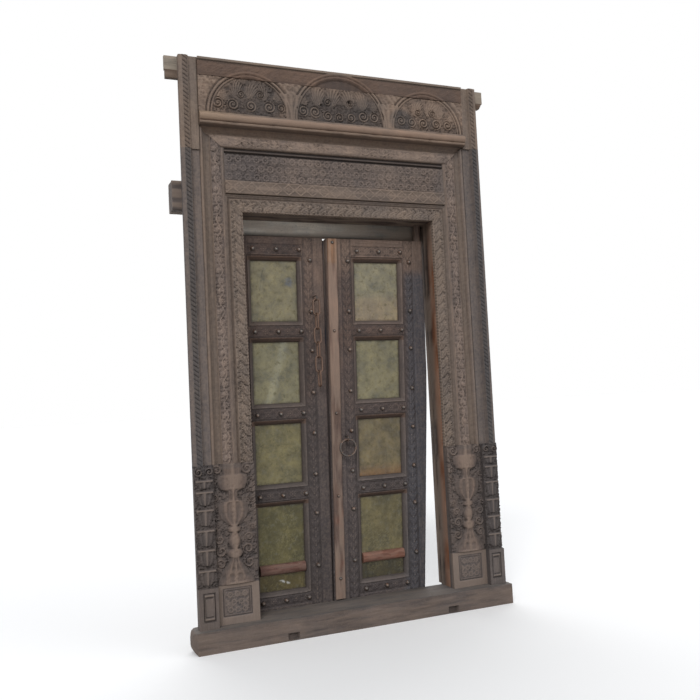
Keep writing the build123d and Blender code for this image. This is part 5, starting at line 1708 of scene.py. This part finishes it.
def build_ring():
    """Pull ring, and the staples of ring and chain: rods round a circle and round a hairpin bend."""
    angle = np.linspace(0, 2 * np.pi, 61)[:-1]
    shells = Shells()
    circle = np.stack([RING_RADIUS * np.cos(angle), 0 * angle, RING_RADIUS * np.sin(angle)], 1)
    rod(shells, middle_of("pull_ring") + circle, RING_BAR, 200)
    shells.build("forged_ring", "ring", "iron", flat_tint("iron", 43, 0.0, 0.2), ["pull_ring"])
    for name, body in (("chain_staple", "left_leaf"), ("ring_staple", "right_leaf")):
        low, high = (np.array(c) * 1000 + np.array([0, MID_DEPTH, 0]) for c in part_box(name))
        reach = (high[2] - low[2]) / 2 - STAPLE_BAR
        middle = (low + high) / 2
        bend = np.linspace(np.pi / 2, 3 * np.pi / 2, 15)
        tip = low[1] + STAPLE_BAR + reach
        leg = span(high[1] - 2, tip, 6)
        upper = np.stack([leg, np.full_like(leg, middle[2] + reach)], 1)
        lower = np.stack([leg[::-1], np.full_like(leg, middle[2] - reach)], 1)
        curve = np.stack([tip + reach * np.cos(bend), middle[2] + reach * np.sin(bend)], 1)
        line = np.concatenate([upper[:-1], curve, lower[1:]])
        shells = Shells()
        path = np.stack([np.full(len(line), middle[0]), line[:, 0], line[:, 1]], 1)
        rod(shells, path, STAPLE_BAR, 201, closed=False)
        shells.build(name + "_iron", body, "iron", flat_tint("iron", 44, 0.0, 0.2), [name])


CAMERA_PLACE = (-1508.3, -3566.1, 1090.0)
CAMERA_TURN = (93.3728, 2.8292, -22.6291)
CAMERA_LENS = 40.995


def pale_floor():
    """Floor paint: nearly white to the camera and in reflections, and grey to the light that bounces off
    it, so that the undersides of the door stay in shade."""
    material, tree, shader = new_material("pale_floor")
    path = node(tree, "ShaderNodeLightPath")
    seen = node(tree, "ShaderNodeMath", operation="MAXIMUM")
    tree.links.new(path.outputs["Is Camera Ray"], seen.inputs[0])
    tree.links.new(path.outputs["Is Glossy Ray"], seen.inputs[1])
    colour = mix(tree, seen.outputs[0], (0.34, 0.33, 0.32), (0.98, 0.98, 0.98))
    tree.links.new(colour, shader.inputs["Base Color"])
    shader.inputs["Roughness"].default_value = 0.9
    shader.inputs["Specular IOR Level"].default_value = 0.0
    return material


def soft_sky(scene):
    """Even sky light, seen as white by the camera and in reflections."""
    world = bpy.data.worlds.new("soft_sky")
    scene.world = world
    world.use_nodes = True
    tree = world.node_tree
    sky = tree.nodes["Background"]
    sky.inputs["Color"].default_value = (0.95, 0.97, 1.0, 1)
    sky.inputs["Strength"].default_value = 0.52
    white = node(tree, "ShaderNodeBackground")
    white.inputs["Color"].default_value = (1, 1, 1, 1)
    white.inputs["Strength"].default_value = 1.0
    path = node(tree, "ShaderNodeLightPath")
    blend_in = node(tree, "ShaderNodeMixShader")
    seen = node(tree, "ShaderNodeMath", operation="MAXIMUM")
    also = node(tree, "ShaderNodeMath", operation="MAXIMUM")
    tree.links.new(path.outputs["Is Camera Ray"], seen.inputs[0])
    tree.links.new(path.outputs["Is Transmission Ray"], seen.inputs[1])
    tree.links.new(seen.outputs[0], also.inputs[0])
    tree.links.new(path.outputs["Is Glossy Ray"], also.inputs[1])
    tree.links.new(also.outputs[0], blend_in.inputs[0])
    tree.links.new(sky.outputs[0], blend_in.inputs[1])
    tree.links.new(white.outputs[0], blend_in.inputs[2])
    tree.links.new(blend_in.outputs[0], tree.nodes["World Output"].inputs["Surface"])


def build_stage():
    """Pale floor and background, broad soft lamps far away, and the camera where the photographer stood."""
    scene = bpy.context.scene
    scene.view_settings.view_transform = "Standard"
    mesh = bpy.data.meshes.new("floor")
    reach = 60.0
    mesh.from_pydata([(-reach, -reach, 0), (reach, -reach, 0), (reach, reach, 0), (-reach, reach, 0)], [],
                     [(0, 1, 2, 3)])
    floor = bpy.data.objects.new("floor", mesh)
    scene.collection.objects.link(floor)
    mesh.materials.append(pale_floor())
    soft_sky(scene)
    for name, toward, spread, power in (("key_lamp", (0.42, 0.72, -0.58), 26, 1.6),
                                        ("side_lamp", (-0.75, 0.55, -0.36), 50, 0.5),
                                        ("back_lamp", (-0.2, -0.6, -0.75), 50, 0.9)):
        lamp = bpy.data.lights.new(name, "SUN")
        lamp.angle = radians(spread)
        lamp.energy = power
        holder = bpy.data.objects.new(name, lamp)
        scene.collection.objects.link(holder)
        holder.rotation_euler = Vector(toward).to_track_quat("-Z", "Y").to_euler()
    camera = bpy.data.cameras.new("camera")
    camera.lens = CAMERA_LENS
    camera.sensor_width = 36
    camera.clip_end = 200
    holder = bpy.data.objects.new("camera", camera)
    scene.collection.objects.link(holder)
    x, y, z = CAMERA_PLACE
    holder.location = (x / 1000, (y - MID_DEPTH) / 1000, z / 1000)
    holder.rotation_euler = [radians(a) for a in CAMERA_TURN]
    scene.camera = holder


class DOOR_OT_jambs(bpy.types.Operator):
    """Carved planks and pilasters on both sides of the opening"""
    bl_idname = "door.jambs"
    bl_label = "Jambs and pilasters"

    def execute(self, context):
        for side in ("left", "right"):
            build_jamb(side)
            build_pilaster(side)
        return {"FINISHED"}


class DOOR_OT_heads(bpy.types.Operator):
    """Carved boards over the opening"""
    bl_idname = "door.heads"
    bl_label = "Heads and lattice"

    def execute(self, context):
        build_heads()
        return {"FINISHED"}


class DOOR_OT_ledge(bpy.types.Operator):
    """Round-nosed ledge under the frieze"""
    bl_idname = "door.ledge"
    bl_label = "Ledge"

    def execute(self, context):
        build_ledge()
        return {"FINISHED"}


class DOOR_OT_frieze(bpy.types.Operator):
    """Frieze with its three arches and top rail"""
    bl_idname = "door.frieze"
    bl_label = "Frieze"

    def execute(self, context):
        build_frieze()
        return {"FINISHED"}


class DOOR_OT_timbers(bpy.types.Operator):
    """Posts, lintel, back boards and battens"""
    bl_idname = "door.timbers"
    bl_label = "Plain timbers"

    def execute(self, context):
        build_timbers()
        return {"FINISHED"}


class DOOR_OT_sill(bpy.types.Operator):
    """Worn threshold beam"""
    bl_idname = "door.sill"
    bl_label = "Sill"

    def execute(self, context):
        build_sill()
        return {"FINISHED"}


class DOOR_OT_leaves(bpy.types.Operator):
    """Timber of both leaves"""
    bl_idname = "door.leaves"
    bl_label = "Leaves"

    def execute(self, context):
        build_leaves()
        return {"FINISHED"}


class DOOR_OT_brass(bpy.types.Operator):
    """Embossed brass sheets in the panels"""
    bl_idname = "door.brass"
    bl_label = "Brass sheets"

    def execute(self, context):
        build_brass()
        return {"FINISHED"}


class DOOR_OT_cover_strip(bpy.types.Operator):
    """Cover strip on the meeting edge of the right leaf"""
    bl_idname = "door.cover_strip"
    bl_label = "Cover strip"

    def execute(self, context):
        build_cover_strip()
        return {"FINISHED"}


class DOOR_OT_studs(bpy.types.Operator):
    """Nail heads on the leaves and the cover strip"""
    bl_idname = "door.studs"
    bl_label = "Studs"

    def execute(self, context):
        build_studs()
        return {"FINISHED"}


class DOOR_OT_chain(bpy.types.Operator):
    """Hanging chain of forged links"""
    bl_idname = "door.chain"
    bl_label = "Chain"

    def execute(self, context):
        build_chain()
        return {"FINISHED"}


class DOOR_OT_ring(bpy.types.Operator):
    """Pull ring and staples"""
    bl_idname = "door.ring"
    bl_label = "Ring and staples"

    def execute(self, context):
        build_ring()
        return {"FINISHED"}


class DOOR_OT_stage(bpy.types.Operator):
    """Floor, light and camera"""
    bl_idname = "door.stage"
    bl_label = "Stage"

    def execute(self, context):
        build_stage()
        return {"FINISHED"}


OPERATORS = (DOOR_OT_jambs, DOOR_OT_heads, DOOR_OT_ledge, DOOR_OT_frieze, DOOR_OT_timbers, DOOR_OT_sill,
             DOOR_OT_leaves, DOOR_OT_brass, DOOR_OT_cover_strip, DOOR_OT_studs, DOOR_OT_chain, DOOR_OT_ring,
             DOOR_OT_stage)


class DOOR_PT_panel(bpy.types.Panel):
    """Settings and pieces of the carved door"""
    bl_idname = "DOOR_PT_panel"
    bl_label = "Carved door"
    bl_space_type = "VIEW_3D"
    bl_region_type = "UI"
    bl_category = "Door"

    def draw(self, context):
        for settings in (context.scene.door_sizes, context.scene.door_colours):
            for name in settings.__annotations__:
                self.layout.prop(settings, name)
        for operator in OPERATORS:
            self.layout.operator(operator.bl_idname)


CLASSES = (DoorColours, DoorSizes, *OPERATORS, DOOR_PT_panel)


def register():
    """Adds the classes and hangs the settings on the scene."""
    for made in CLASSES:
        bpy.utils.register_class(made)
    bpy.types.Scene.door_colours = bpy.props.PointerProperty(type=DoorColours)
    bpy.types.Scene.door_sizes = bpy.props.PointerProperty(type=DoorSizes)


def unregister():
    """Takes the settings and the classes away again."""
    del bpy.types.Scene.door_sizes
    del bpy.types.Scene.door_colours
    for made in reversed(CLASSES):
        bpy.utils.unregister_class(made)


def main():
    register()
    for operator in OPERATORS:
        group, name = operator.bl_idname.split(".")
        getattr(getattr(bpy.ops, group), name)()
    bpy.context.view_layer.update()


if __name__ == "__main__":
    main()
